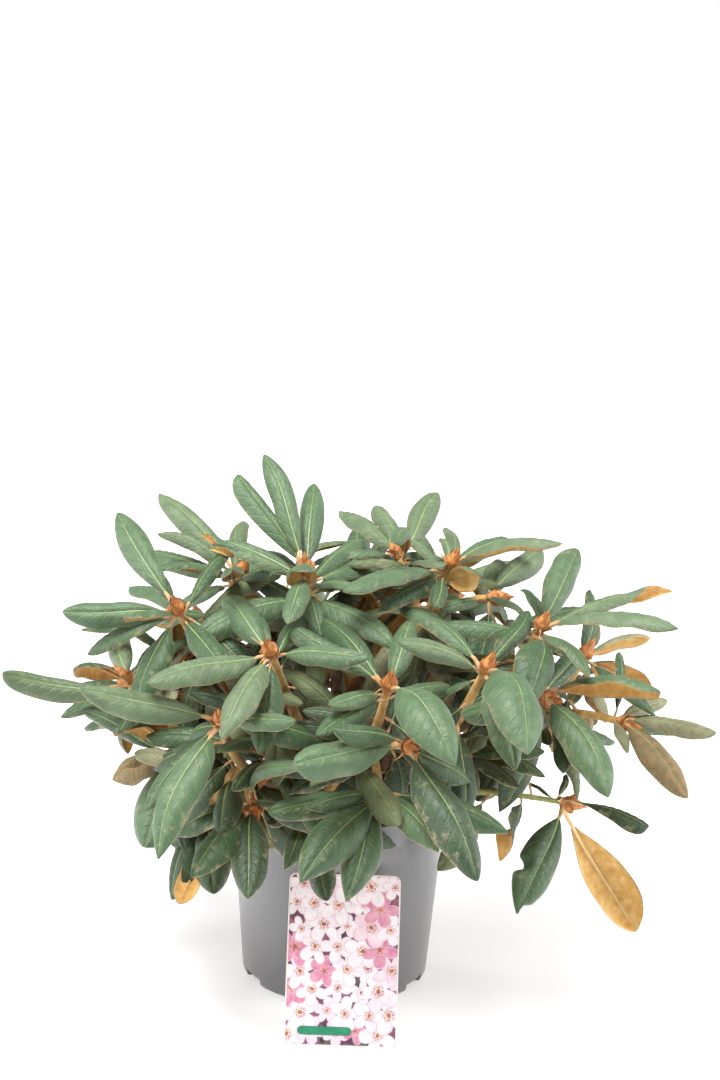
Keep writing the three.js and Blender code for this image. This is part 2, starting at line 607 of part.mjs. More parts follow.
function growWhorl(shoot) {
  shoot.start = 2 * Math.PI * seeded(shoot.seed + START_SEED)();
  for (let k = 0; shoot.leaves < shoot.count && k < 2 * shoot.count; k++) {
    growLeaf(whorlLeaf(shoot, k), shoot.node, shoot, WIDE_TURNS);
  }
}

function fuse(node) {
  const bodies = placed.filter((other) => other.node === node).map((other) => other.body);
  return mainPiece(wasm.Manifold.union(bodies));
}

// ---------------------------------------------------------------- the potted plant

const COLOURS = {
  pot: [0x6f6b69, 0.55], soil: [0x2a211b, 1], tag: [0xf0d3dd, 0.35],
  bark: [0x8a6a48, 0.85], leaf: [0x75906b, 0.6],
};

function meshOf(name, geometry, colour) {
  const [tint, roughness] = COLOURS[colour];
  const material = new THREE.MeshStandardMaterial({ color: tint, roughness, metalness: 0 });
  const mesh = new THREE.Mesh(geometry, material);
  mesh.name = name;
  return mesh;
}

// The tag stands on the ground and leans its top edge on the pot's wall.
function tagMesh() {
  const mesh = meshOf("picture_tag", tagGeometry(), "tag");
  const rise = TAG_HEIGHT * Math.sin(TAG_LEAN);
  const reach = wallRadius(rise) + 2 * GAP + TAG_HEIGHT * Math.cos(TAG_LEAN);
  mesh.rotation.x = TAG_LEAN;
  mesh.position.set(TAG_X, -reach, GAP);
  return mesh;
}

const potted = new THREE.Group();
const tag = tagMesh();
tag.updateMatrix();
const { curves, bodies } = growBoughs();
bodies.pot = potSolid();
bodies.soil = soilSolid();
for (const [node, body] of Object.entries(bodies)) {
  remember(node, null, body);
  potted.add(meshOf(node, geometryOf(body), ["pot", "soil"].includes(node) ? node : "bark"));
}
remember("picture_tag", null, solidOf(tag.geometry.clone().applyMatrix4(tag.matrix)));
potted.add(tag);

const shoots = growShoots(curves);
shoots.forEach(growShownLeaves);
shoots.forEach(growWhorl);
for (const node of Object.keys(MASSES)) {
  potted.add(meshOf(node, geometryOf(fuse(node)), "leaf"));
}

export default potted;
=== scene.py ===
"""A young rhododendron in its nursery pot, with a picture tag leaning on the pot.

Metres, +Z up, the front is -Y. The plan of the plant is kept in millimetres, as the part's source has
it, and MM turns it into metres. The crown grows by the source's own seeded rule, and every leaf, bud,
twig and limb of that rule is made here in full detail.
"""

import math

import bpy
import numpy as np
from mathutils import Matrix, noise
from mathutils.bvhtree import BVHTree


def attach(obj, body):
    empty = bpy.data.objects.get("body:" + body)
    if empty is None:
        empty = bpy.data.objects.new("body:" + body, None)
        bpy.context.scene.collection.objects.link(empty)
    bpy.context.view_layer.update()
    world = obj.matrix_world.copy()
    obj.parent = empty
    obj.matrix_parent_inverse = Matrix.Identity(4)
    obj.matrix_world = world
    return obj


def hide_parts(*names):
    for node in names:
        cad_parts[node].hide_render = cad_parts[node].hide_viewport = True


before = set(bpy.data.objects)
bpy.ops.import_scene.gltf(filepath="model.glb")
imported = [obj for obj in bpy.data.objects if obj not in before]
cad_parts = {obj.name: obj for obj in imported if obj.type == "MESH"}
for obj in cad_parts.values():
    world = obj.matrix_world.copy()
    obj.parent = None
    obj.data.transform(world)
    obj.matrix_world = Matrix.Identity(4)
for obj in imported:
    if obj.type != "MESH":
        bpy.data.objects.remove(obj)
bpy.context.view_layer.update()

MM = 0.001

# ---------------------------------------------------------------- sizes that the source sets, in mm

GAP = 0.3

POT_HEIGHT = 176
POT_BASE_RADIUS = 85.5
POT_TOP_RADIUS = 99
POT_WALL = 2
POT_BAND_HEIGHT = 26
POT_BAND_STEP = 0.6
STANDING_DISC_RADIUS = 58
DISC_FLOOR = 2.4
CHANNEL_HEIGHT = 7
CHANNEL_FLOOR = 9.2
CHANNEL_OUTER_RADIUS = 75
FOOT_COUNT = 6
FOOT_NOTCH_WIDTH = 26
DRAIN_RADIUS = 5
DRAIN_CIRCLE = 67.5

SOIL_TOP = 158
SOIL_EDGE_DROP = 3
SOIL_FLAT_RADIUS = 32

TAG_WIDTH = 98
TAG_HEIGHT = 148
TAG_THICKNESS = 1
TAG_CORNER = 6
TAG_X = 8
TAG_LEAN = math.radians(62.6)

TRUNK_FOOT = [-4, 5]
TRUNK_TOP = [2, 0, 196]
TRUNK_RADII = [19, 13.5, 12, 11, 8.5]
TRUNK_LEVELS = [0, 0.12, 0.4, 0.85, 1]
ROOT_RIDGE = 5
BOUGH_BEND = [0.6, 0.34]

TWIG_TIP_RADIUS = 3.6
LEADER_RADIUS = 4.8  # of a mass's first twig, at its foot
SIDE_TWIG_RADIUS = 4.1
FIRST_FORK = 0.02
FORK_STEP = 0.14
TWIG_BEND = 0.4
BUD_LENGTH = 24
BUD_BELLY = 9
BUD_RADIUS = 7.2

LEAF_WIDTH = 0.245
RISE_NARROWING = 0.0012
LEAF_FOLD = 0.22
LEAF_THICKNESS = 1.5
WIDEST_RING = 0.48
FULL_RINGS = [[0.4, 0.96], [0.73, 0.84]]
PETIOLE_WIDTH = 3.4
BLADE_FOOT = 1.3  # how much wider than its petiole a blade starts
ROOT_DEPTH = 4
BLADE_START = 0.14
CROWN_RADIUS = 250
OUTWARD_TILT = 1.0
GOLDEN_ANGLE = 137.5
WHORL_SEED = 40
START_SEED = 99
DROOP = 0.14
LEAF_STEP = 2.2
WHORL_STEPS = 10
WHORL_LENGTHS = [78, 116]
WHORL_LIFTS = [-18, 26]
STEEPEST = 42
SHOWN_ARCHES = [0.05, 0.11]
WHORL_ARCHES = [0.05, 0.12]
FULL_LEAF = 70  # a shorter leaf isn't shown in as much detail

SMALL_TURNS = [[0, 0], [0, 4], [0, -4], [5, 0], [-5, 0], [6, 7], [-6, -7], [6, -7], [-6, 7],
               [0, 12], [0, -12], [12, 0], [-12, 0]]
WIDE_TURNS = [[0, 0], [0, 10], [0, -10], [9, 5], [-9, -5], [9, -14], [-9, 14]]

# ---------------------------------------------------------------- finer detail, made here only, in mm

RIM_ROUNDING = 1.2
FOOT_BEVEL = 0.8
NOTCH_HEIGHT = 6.5
NOTCH_EDGE = 0.3  # half of the degrees that a notch's side takes
NOTCH_COLUMNS = [5, 5, 1, 6, 1, 10]  # the pot's columns from one notch to the next
DRAIN_SIDES = 24
DRAIN_SPARE = 3  # how far the drill goes beyond the channel's floor on both sides
POT_HOLE, SOIL_HOLE = 0.5, 0.4  # radius of the middle that their turned faces leave

SOIL_LUMP = 9
SOIL_NOISE = (0.8, 2.1, 5)  # how its octaves fall off, how they shrink, and their count
SOIL_RELIEF = 1.9
SOIL_CALM = 0.6  # how much of the relief the compost loses at the wall
SOIL_SINK = 1.2
SOIL_FOOT = 10
CRUMB_COUNT = 900
CRUMB_SIZES = [0.7, 2.6]
CRUMB_SEED = 11
BIG_CRUMBS = [0.93, 1.5]  # the luck that makes a crumb bigger, and how much bigger

CARD_MARGIN = 1.2
INK_STEP = 0.012  # between one blossom and the next over it
BLOSSOM_RADIUS = [11, 19]
BLOSSOM_ROWS = 8
BLOSSOM_COLUMNS = 5
BLOSSOM_SHIFT = 3
PETAL_COUNT = 5
SPRIG_COUNT = 60
SPRIG_SIZE = [9, 2.8]
RIBBON_ENDS = [(-34, 13), (6, 13)]
RIBBON_HALF = 3.6
PRINT_SEED = 5

TRUNK_RINGS, TRUNK_SIDES = 34, 48
TRUNK_BARK = (0.8, 5)  # how deep its furrows are, and how far apart
BARK_NOISE = (0.9, 2.1, 4, 0.8, 1.6)
BARK_LEVEL = 1.1  # of the noise, that leaves the limb as thick as it is
BARK_STRETCH = 2.8  # how much longer a furrow is than it is wide
BOUGH_CELL, BOUGH_SIDES = 2.2, 22
BOUGH_BARK = (0.45, 3.5)
BOUGH_COLLAR = 0.3  # how much a bough swells at its foot
TWIG_CELL, TWIG_SIDES = 2.6, 14
GREEN_SHOOTS = "leaves_low_right"  # the mass whose young twig is thin and still green
GREEN_GIRTH = 0.64
TWIG_FOOT = (0.06, 1.12)  # the share of a twig that its swollen foot takes, and how swollen it is
SCAR_COUNT, SCAR_RELIEF, SCAR_REACH = 9, 0.22, 2.6
RING_RELIEF, RING_REACH = (0.09, 0.03), (3.2, 6)  # of the band of old bud scales, and of its rings
RING_BEAT = 2.4
BUD_SEED = 7
BUD_SCALES = 12
SCALE_REACH = (9, 11)  # of the outermost, and how much longer the innermost is
SCALE_CLIMB = (-2, 7)  # where the outermost starts, and how much higher the innermost
SCALE_OPENING = (3.4, 0.8)  # how far an outer scale's tip may stand off, and an inner one's
SCALE_LIFT, SCALE_EDGE_LIFT = 0.3, 0.42
BUD_SLIMNESS = 0.86  # of the source's bud, under the lifted scales
BUD_POINT = 1.15
SCALE_TURNS = (66, 16)  # half of an outer scale's spread in degrees, and how much less the inner have
BRACT_COUNT = 2
BRACT_REACH = (9, 17)
BRACT_RADII = (1.0, 0.25)

LEAF_ENDS = (0.002, 0.998)  # of a blade, where its faces start and stop
MIDRIB_END, STALK_END = 0.96, 0.93
OLD_LEAVES = 5  # last year's, tried on each twig below its whorl
OLD_SEED = 70
OLD_LENGTHS = [66, 104]
OLD_LIFTS = [-34, -6]
OLD_PLACES = [0.45, 0.86]  # along the twig
BLADE_THICKNESS = 0.8
GREEN_EDGE = 0.55  # how far down a leaf's edge its green goes
FELT_RIM = 0.04  # how far the edge swells out there
FELT_INSET = 0.1
PILLOW = 0.46  # how each half swells beside the midrib
MIDRIB_GROOVE = (0.7, 1.4)  # its depth and its half width
QUILTED = ((0.04, 0.4), (0.5, 0.92))  # where the quilting comes in from the midrib, and fades out
MIDRIB_WIDTH = [1.0, 0.25]
MIDRIB_SINKS = [[-0.1, -0.42, -0.1]]  # its two edges and its crest over the face
STALK_RADII = [[-0.2, 2.2], [-0.08, 1.8], [0.0, 1.5], [0.2, 1.2], [0.6, 0.85], [0.94, 0.4]]
STALK_LEAF = 110  # the length of leaf that these radii suit
STALK_SIDES = 7
TOP_LANES = [-1, -0.9, -0.72, -0.5, -0.28, -0.1, 0, 0.1, 0.28, 0.5, 0.72, 0.9, 1]
UNDER_LANES = [-1, -0.84, -0.5, -0.14, 0, 0.14, 0.5, 0.84, 1]
TOP_ROWS, UNDER_ROWS = (38, 58), (20, 26)  # along a leaf of the whorl, and along one that is shown
# Leaves with a habit of their own, by their seed.
ODD_HABITS = {
    3103: {"flip": -2.4, "tip": 0.5}, 1003: {"flip": -2.0, "flip_span": (0.6, 0.88), "tip": 1.1},
    1004: {"flip": -1.8, "flip_span": (0.62, 0.9), "tip": 1.1},
    9002: {"flip": 1.7, "flip_span": (0.5, 0.85), "tip": 1.0, "foot": 0.7, "girth": 0.62},
    10100: {"girth": 0.78},
    11001: {"foot": 1.5, "tip": 0.8, "wave": 0.12, "relief": 0.6}, 11002: {"foot": 1.9, "tip": 0.45},
    11000: {"bites": [(1, 0.58, 0.06, 0.45), (-1, 0.93, 0.05, 0.6)]},
    4201: {"foot": 1.7, "tip": 0.55}, 6100: {"full": 1.1, "tip": 0.7},
    11073: {"twist": 2.7}, 3105: {"wave": 0.2, "curl": 1.5}, 3104: {"wave": 0.2, "curl": 1.5},
    1008: {"curl": 1.4, "wave": 0.16}, 8107: {"curl": 1.3},
}
# Leaves whose tint isn't left to their place, by their tint and then their seed.
ODD_TINTS = {
    "silver": [3000, 4000], "green": [6200], "deep": [4101, 6100], "olive": [3102, 5100],
    "rusty": [3104, 3105, 10101], "dusty": [10100],
    "sage": [9100, 1000, 1002, 1011, 4001, 6000, 6101, 7000, 9000, 3100],
}
# The tint that a leaf takes where its painted light, from its height and place in the crown, or, on an old
# leaf, its luck is over a number.
TINT_STEPS = [(0.8, "silver"), (0.52, "sage"), (0.15, "green"), (-math.inf, "deep")]
OLD_TINT_STEPS = [(0.6, "olive"), (0.45, "dusty"), (-math.inf, "deep")]
LIGHT_FROM, LIGHT_OVER = 190, 250  # heights: where the painted light starts, and over how much it grows
LIGHT_SHARES = (0.8, 0.25, 0.6)  # how much height, distance and luck count
PALE_RIBS = [4201, 11001, 11002]  # leaves whose rib shows cream on their felt
DUSTY_MASS, DUSTY_LUCK = "leaves_far_right", 0.25  # whose leaves are weathered but for this share
OLIVE_LUCK, OLIVE_LIGHT = 0.9, 0.66  # how rare an olive leaf is, and the painted light that it stays under

# The camera, and the frame that its view fills.
PHOTO_WIDTH, PHOTO_HEIGHT = 720, 1080
FOCAL_PIXELS = 2257
CAMERA_PLACE = [11, -1940, 931]
CAMERA_PITCH = math.radians(15)  # looks down by this
CAMERA_ROLL = math.radians(1.9)
SENSOR = 36

# Light, in metres and watts.
WORLD_GLOW = 0.4
LIGHTS = {
    "key": {"place": (-0.5, -0.6, 2.8), "target": (0, 0, 0.3), "size": 1.4, "power": 146},
    "left": {"place": (-2.3, -0.5, 1.3), "target": (0, 0, 0.2), "size": 1.5, "power": 52},
    "right": {"place": (2.3, -0.2, 1.3), "target": (0, 0, 0.2), "size": 1.5, "power": 66},
}
FLOOR_RADII = [0.01, 0.3, 0.6, 1, 2, 4, 8, 20, 60]
FLOOR_DROP = -0.05  # mm
FLOOR_GLOW = [(0.35, 0.27), (2.4, 0.72)]  # how strongly it glows at two distances; the glow near the plant is painted light that lifts the floor's shadows

# ---------------------------------------------------------------- the plant's plan, in mm and degrees

# A bough: what it grows from and how far along that, its tip, and its radii at its two ends.
BOUGHS = {
    "bough_centre": ["trunk", 0.97, [-24, -14, 300], [8, 5.4]],
    "bough_left": ["trunk", 0.8, [-98, -18, 268], [8, 5.4]],
    "bough_right": ["trunk", 0.75, [118, -34, 262], [8, 5.4]],
    "bough_front": ["trunk", 0.7, [20, -98, 236], [7.5, 5.4]],
    "bough_back": ["trunk", 0.72, [-8, 96, 262], [8, 5.4]],
    "bough_front_left": ["trunk", 0.55, [-66, -84, 214], [7, 5.4]],
    "bough_back_right": ["trunk", 0.5, [88, 66, 232], [7.5, 5.4]],
    "bough_back_left": ["trunk", 0.48, [-92, 62, 226], [7.5, 5.4]],
    "bough_low_right": ["trunk", 0.42, [98, -52, 195], [6.5, 5]],
    "bough_far_left": ["bough_left", 0.5, [-112, -44, 232], [6, 5]],
    "bough_mid_left": ["bough_front", 0.35, [-34, -84, 262], [6, 5]],
    "bough_right_top": ["bough_centre", 0.45, [58, -4, 304], [6.5, 5]],
    "bough_right_front": ["bough_right", 0.4, [86, -78, 250], [6.5, 5]],
    "bough_far_right": ["bough_right", 0.62, [160, 4, 240], [6, 5]],
    "bough_back_top": ["bough_back", 0.5, [34, 62, 306], [6.5, 5]],
    "bough_far_back": ["bough_back", 0.4, [20, 118, 222], [6, 5]],
}

# A mass: its bough, and its shoots. A shoot: the place of its bud, how many leaves it carries, and
# those that stand out there as [heading, rise, length, oddities].
MASSES = {
    "leaves_crown_top": ["bough_centre", [
        [[-35, -30, 386], 14, [[117, 46, 126], [138, 40, 118], [86, 37, 112],
            [154, 16, 112, {"roll": 25, "width": 0.18}], [178, 22, 92, {"width": 0.18}], [42, 1, 104],
            [60, 12, 95], [321, 15, 60], [240, 50, 48, {"roll": -20, "width": 0.6}],
            [285, -22, 56, {"width": 0.42}], [317, -11, 108], [213, -11, 122, {"roll": 15}]]],
    ]],
    "leaves_left_top": ["bough_left", [
        [[-144, -60, 357], 9, [[129, 28, 128], [188, -2, 102, {"roll": 42}], [229, 10, 72],
            [60, 30, 92], [297, -11, 92]]],
        [[-98, 20, 367], 10, [[134, 28, 125], [224, 15, 88], [89, 26, 90], [303, 23, 75],
            [137, 6, 110]]],
    ]],
    "leaves_far_left": ["bough_far_left", [
        [[-189, -40, 283], 7, [[188, 5, 112, {"roll": 30, "arch": -0.1}], [104, 11, 105],
            [78, 12, 100], [50, -24, 80]]],
        [[-151, -60, 223], 9, [[261, -30, 102, {"roll": 40, "width": 0.38}],
            [163, 22, 92, {"roll": 30}], [259, 8, 62], [279, -66, 108, {"width": 0.22}],
            [229, -7, 60], [186, -28, 66, {"roll": 30, "width": 0.4}]]],
        [[-148, 14, 288], 9, [[300, -6, 60]]],
    ]],
    "leaves_front_left": ["bough_front_left", [
        [[-99, -170, 296], 6, [[205, 17, 128, {"roll": 20}],
            [241, -38, 132, {"width": 0.27, "arch": 0.13}], [326, 18, 80], [128, -28, 60]]],
        [[-73, -150, 216], 7, [[242, -14, 104, {"width": 0.31}], [275, -23, 108, {"width": 0.29}],
            [314, 12, 44]]],
        [[-110, -90, 195], 5, [[274, -30, 98, {"width": 0.34}],
            [255, -46, 100, {"roll": -150, "width": 0.2}]]],
    ]],
    "leaves_mid_left": ["bough_mid_left", [
        [[-60, -130, 343], 7, [[219, -1, 122, {"roll": 10}], [252, -19, 112], [325, 12, 98],
            [111, 22, 60], [73, 15, 78]]],
        [[-62, -112, 238], 9, [[78, 20, 78, {"width": 0.45}], [321, 17, 66]]],
    ]],
    "leaves_front": ["bough_front", [
        [[38, -150, 322], 7, [[299, -11, 122, {"width": 0.35, "arch": 0.2}], [119, 18, 118],
            [75, 25, 100], [230, 11, 78], [235, -4, 96], [44, -2, 80]]],
        [[55, -185, 286], 4, [[293, -28, 142, {"width": 0.27, "arch": 0.12}],
            [224, 5, 118, {"roll": 10, "width": 0.28}], [226, 24, 92]]],
        [[35, -165, 232], 7, [[239, -12, 128, {"width": 0.3}], [255, -25, 112, {"width": 0.3}],
            [225, 3, 80], [301, -10, 98]]],
        [[-23, -125, 198], 6, [[227, 8, 52], [250, -22, 70]]],
    ]],
    "leaves_right_front": ["bough_right_front", [
        [[120, -120, 331], 6, [[285, -11, 128, {"width": 0.38, "arch": 0.2}], [126, 16, 118],
            [213, 27, 98], [56, 26, 92], [140, -29, 60]]],
        [[107, -80, 238], 7, [[314, 19, 96, {"roll": 25}], [311, 2, 76], [280, -9, 60]]],
    ]],
    "leaves_right_top": ["bough_right_top", [
        [[48, 30, 388], 8, [[107, 17, 92], [71, 20, 112], [128, 13, 108], [307, 14, 60]]],
        [[91, -10, 391], 8, [[323, 22, 120], [49, 11, 85], [94, 33, 48], [219, 2, 122, {"roll": -12}],
            [222, -10, 85], [261, -6, 62], [127, 18, 62],
            [320, 22, 46, {"roll": -70, "width": 0.6}]]],
        [[129, 10, 358], 5, [[80, 14, 80, {"width": 0.3}], [57, 15, 106, {"width": 0.26}],
            [301, 5, 62], [233, 4, 60]]],
    ]],
    "leaves_right": ["bough_right", [
        [[169, -60, 351], 7, [[69, 26, 118, {"width": 0.26}], [325, 14, 138],
            [26, 11, 140, {"roll": -22, "width": 0.2}],
            [264, -17, 96, {"width": 0.4, "arch": 0.18}]]],
        [[174, -70, 293], 6, [[296, -18, 132, {"roll": 25, "arch": 0.13}],
            [322, 18, 126, {"roll": -20}], [32, -51, 98]]],
    ]],
    "leaves_far_right": ["bough_far_right", [
        [[217, 20, 300], 7, [[43, 4, 92, {"roll": -80}], [35, -26, 108, {"roll": -80}], [68, 14, 85],
            [78, 27, 95], [50, -49, 86]]],
        [[251, -10, 252], 6, [[313, 12, 112, {"roll": 70}], [299, -18, 112, {"roll": 35}],
            [39, 8, 68], [82, 43, 72], [285, -10, 62], [24, -14, 90]]],
    ]],
    "leaves_low_right": ["bough_low_right", [
        [[199, -60, 192], 5, [[247, -30, 125], [2, -58, 142, {"roll": -120, "width": 0.27}],
            [338, -4, 84], [61, 30, 34], [131, 13, 34]]],
    ]],
    "leaves_back_top": ["bough_back_top", [
        [[6, 78, 350], 11, [[88, 14, 108]]],
        [[92, 96, 334], 10, [[48, 10, 104]]],
    ]],
    "leaves_back": ["bough_back", [
        [[-62, 112, 324], 11, [[118, 8, 116]]],
        [[-26, 182, 286], 11, [[102, 0, 120]]],
        [[48, 172, 296], 11, [[70, 2, 116]]],
    ]],
    "leaves_back_left": ["bough_back_left", [
        [[-136, 92, 298], 10, [[132, 6, 112]]],
        [[-116, 158, 254], 10, [[124, -8, 120]]],
        [[-160, 76, 214], 9, [[158, -16, 104]]],
    ]],
    "leaves_back_right": ["bough_back_right", [
        [[156, 112, 294], 10, [[40, 4, 112]]],
        [[118, 168, 260], 10, [[60, -8, 120]]],
        [[166, 84, 212], 9, [[22, -14, 112]]],
    ]],
    "leaves_far_back": ["bough_far_back", [
        [[48, 186, 220], 10, [[80, -18, 118]]],
        [[-52, 172, 212], 10, [[112, -22, 118]]],
    ]],
}

# ---------------------------------------------------------------- numbers, curves and meshes


def seeded(seed):
    """mulberry32, the source's run of numbers for a seed."""
    state = seed & 0xFFFFFFFF

    def draw():
        nonlocal state
        state = (state + 0x6D2B79F5) & 0xFFFFFFFF
        word = state
        word = ((word ^ (word >> 15)) * (word | 1)) & 0xFFFFFFFF
        word ^= (word + (((word ^ (word >> 7)) * (word | 61)) & 0xFFFFFFFF)) & 0xFFFFFFFF
        return ((word ^ (word >> 14)) & 0xFFFFFFFF) / 4294967296

    return draw


def between(span, share):
    return span[0] + (span[1] - span[0]) * share


def unit(vector):
    return vector / np.linalg.norm(vector, axis=-1, keepdims=True)


def direction(heading, rise):
    h, r = math.radians(heading), math.radians(rise)
    return np.array([math.cos(r) * math.cos(h), math.cos(r) * math.sin(h), math.sin(r)])


def smooth_step(low, high, value):
    share = np.clip((value - low) / (high - low), 0, 1)
    return share * share * (3 - 2 * share)


def bump_at(place, reach):
    """A smooth hump of height 1 where the place is 0."""
    return np.exp(-((place / reach) ** 2))


def round_turns(count):
    return np.linspace(0, 2 * math.pi, count, endpoint=False)


def round_points(radius, turn, z):
    return np.stack(np.broadcast_arrays(radius * np.cos(turn), radius * np.sin(turn), z), -1)


class Curve:
    """A quadratic curve from a start to a tip, pulled toward its bend. Millimetres."""

    def __init__(self, start, bend, tip):
        self.start, self.bend, self.tip = (np.asarray(p, float) for p in (start, bend, tip))
        self.length = np.linalg.norm(self.tip - self.start)  # of its chord

    def point(self, t):
        t = np.asarray(t, float)[..., None]
        return (1 - t) ** 2 * self.start + 2 * (1 - t) * t * self.bend + t * t * self.tip

    def tangent(self, t):
        t = np.asarray(t, float)[..., None]
        return unit((1 - t) * (self.bend - self.start) + t * (self.tip - self.bend))


def linked(name, data):
    """An object with this data, in the scene."""
    thing = bpy.data.objects.new(name, data)
    bpy.context.scene.collection.objects.link(thing)
    return thing


def aim(thing, right, up, back, place):
    columns = np.column_stack([right, up, back, place])
    thing.matrix_world = Matrix(np.vstack([columns, [0, 0, 0, 1]]).tolist())


class Batch:
    """Many small surfaces of one kind, gathered in mm and made into one mesh in metres."""

    def __init__(self):
        self.points, self.faces, self.charts, self.count = [], [], [], 0

    def add(self, points, faces, chart=None):
        self.points.append(np.asarray(points, float).reshape(-1, 3))
        if chart is not None:
            self.charts.append(np.asarray(chart, float).reshape(-1, 2))
        self.faces.extend([[i + self.count for i in face] for face in faces])
        self.count += len(self.points[-1])

    def grid(self, points, closed=False, flip=False, chart=None):
        """A sheet of quads over rows of points, joined round where closed.

        A chart gives each point its vein number and its lane, for the finish to draw veins by.
        """
        rows, columns = points.shape[:2]
        index = np.arange(rows * columns).reshape(rows, columns)
        if closed:
            index = np.hstack([index, index[:, :1]])
        quads = np.stack([index[:-1, :-1], index[:-1, 1:], index[1:, 1:], index[1:, :-1]], -1)
        quads = quads.reshape(-1, 4)
        self.add(points, (quads[:, ::-1] if flip else quads).tolist(), chart)

    def cap(self, centre, ring):
        """A fan from a centre to a ring of points, facing away from where the ring came."""
        count = len(ring)
        self.add(np.vstack([ring, centre]), [[count, k, (k + 1) % count] for k in range(count)])

    def mesh(self, name):
        mesh = bpy.data.meshes.new(name)
        mesh.from_pydata((np.concatenate(self.points) * MM).tolist(), [], self.faces)
        return mesh

    def made(self, name, material, slot, nodes, smooth=True):
        """The piece of the visual model, riding with the plant in place of the nodes given."""
        mesh = self.mesh(name)
        mesh.polygons.foreach_set("use_smooth", [smooth] * len(mesh.polygons))
        mesh.update()
        if self.charts:
            corners = np.empty(len(mesh.loops), dtype=np.int32)
            mesh.loops.foreach_get("vertex_index", corners)
            layer = mesh.uv_layers.new(name="veins")
            layer.data.foreach_set("uv", np.concatenate(self.charts)[corners].ravel())
        piece = linked(name, mesh)
        mesh.materials.append(material)
        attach(piece, "root")
        if nodes:
            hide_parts(*nodes)
        return piece


def ring_frames(tangents):
    """Two directions square to each tangent, carried along without twisting."""
    side = np.cross(tangents[0], [0.31, 0.95, 0.05])
    sides = []
    for tangent in tangents:
        side = side - tangent * side.dot(tangent)
        side = side / np.linalg.norm(side)
        sides.append(side)
    sides = np.array(sides)
    return sides, np.cross(tangents, sides)


def tube_points(centres, radii, sides, relief=None):
    """Rings of points round a line; relief(turn, share) scales the radius."""
    across, out = ring_frames(unit(np.gradient(centres, axis=0)))
    turn = round_turns(sides)
    share = np.linspace(0, 1, len(centres))
    size = np.asarray(radii, float)[:, None] * np.ones(sides)
    if relief is not None:
        size = size * relief(turn[None, :], share[:, None])
    return (centres[:, None] + size[..., None] * np.cos(turn)[None, :, None] * across[:, None]
            + size[..., None] * np.sin(turn)[None, :, None] * out[:, None])


# ---------------------------------------------------------------- how a material is put together


def rgb(red, green, blue):
    """A colour given in sRGB from 0 to 255, as the linear numbers that a shader takes."""
    def linear(value):
        value /= 255
        return value / 12.92 if value <= 0.04045 else ((value + 0.055) / 1.055) ** 2.4
    return (linear(red), linear(green), linear(blue), 1)


def feed(material, node, **inputs):
    """Sets each input of a node to a value, or links it from a socket."""
    for name, value in inputs.items():
        socket = node.inputs[name.replace("_", " ")]
        if isinstance(value, bpy.types.NodeSocket):
            material.node_tree.links.new(value, socket)
        else:
            socket.default_value = value


def add_node(material, kind, **inputs):
    node = material.node_tree.nodes.new(kind)
    feed(material, node, **inputs)
    return node


def surface(material):
    return material.node_tree.nodes["Principled BSDF"]


def own_place(material):
    return add_node(material, "ShaderNodeTexCoord").outputs["Object"]


def cloud(material, place, cell, detail=5, rough=0.6):
    """Noise with cells of this size in mm."""
    return add_node(material, "ShaderNodeTexNoise", Scale=1 / (cell * MM), Detail=detail, Roughness=rough,
                    Vector=place).outputs["Fac"]


def ranged(material, value, low, high, least=0, most=1):
    """A value from low to high, spread from least to most."""
    return add_node(material, "ShaderNodeMapRange", Value=value, From_Min=low, From_Max=high, To_Min=least,
                    To_Max=most).outputs["Result"]


def blend(material, share, under, over):
    mix = add_node(material, "ShaderNodeMix")
    mix.data_type = "RGBA"
    feed(material, mix, Factor=share, A=under, B=over)
    return mix.outputs["Result"]


def number(material, operation, *values):
    """The result of one sum, on numbers or on sockets."""
    node = add_node(material, "ShaderNodeMath")
    node.operation = operation
    for socket, value in zip(node.inputs, values):
        if isinstance(value, bpy.types.NodeSocket):
            material.node_tree.links.new(value, socket)
        else:
            socket.default_value = value
    return node.outputs[0]


def raise_surface(material, height, reach):
    """A bump of this reach in mm, over those that the material has."""
    bump = add_node(material, "ShaderNodeBump", Distance=reach * MM, Strength=1, Height=height)
    normal = surface(material).inputs["Normal"]
    if normal.is_linked:
        feed(material, bump, Normal=normal.links[0].from_socket)
    feed(material, surface(material), Normal=bump.outputs["Normal"])


SPOT_SOFTNESS = 0.12
ROUGHNESS_SPREAD = 0.06
NOISE_RANGE = (0.3, 0.7)  # where most of a noise lies


def finish(name, stops, cell, roughness, stretch=(1, 1, 1), bumps=(), spots=None, **shader):
    """A procedural finish: a noise picks the colour from the stops and stirs the roughness.

    stops: colours by their places from 0 to 1. cell: the size in mm of the noise that mixes them.
    bumps: (cell in mm, height in mm) of each noise that is raised. spots: (colour, cell, how rare).
    """
    material = bpy.data.materials.new(name)
    material.use_nodes = True
    mapping = add_node(material, "ShaderNodeMapping", Scale=stretch, Vector=own_place(material))
    place = mapping.outputs["Vector"]
    ramp = add_node(material, "ShaderNodeValToRGB", Fac=cloud(material, place, cell))
    first, *middle, last = stops.items()
    for element, (position, colour) in zip(ramp.color_ramp.elements, (first, last)):
        element.position, element.color = position, rgb(*colour)
    for position, colour in middle:
        ramp.color_ramp.elements.new(position).color = rgb(*colour)
    colour = ramp.outputs["Color"]
    if spots:
        tint, size, rarity = spots
        share = ranged(material, cloud(material, place, size, 8, 0.7), rarity, rarity + SPOT_SOFTNESS)
        colour = blend(material, share, colour, rgb(*tint))
    uneven = ranged(material, cloud(material, place, cell / 3), *NOISE_RANGE,
                    roughness - ROUGHNESS_SPREAD, roughness + ROUGHNESS_SPREAD)
    feed(material, surface(material), Base_Color=colour, Roughness=uneven, **shader)
    for size, height in bumps:
        raise_surface(material, cloud(material, place, size), height)
    return material


# ---------------------------------------------------------------- the leaves' own finish

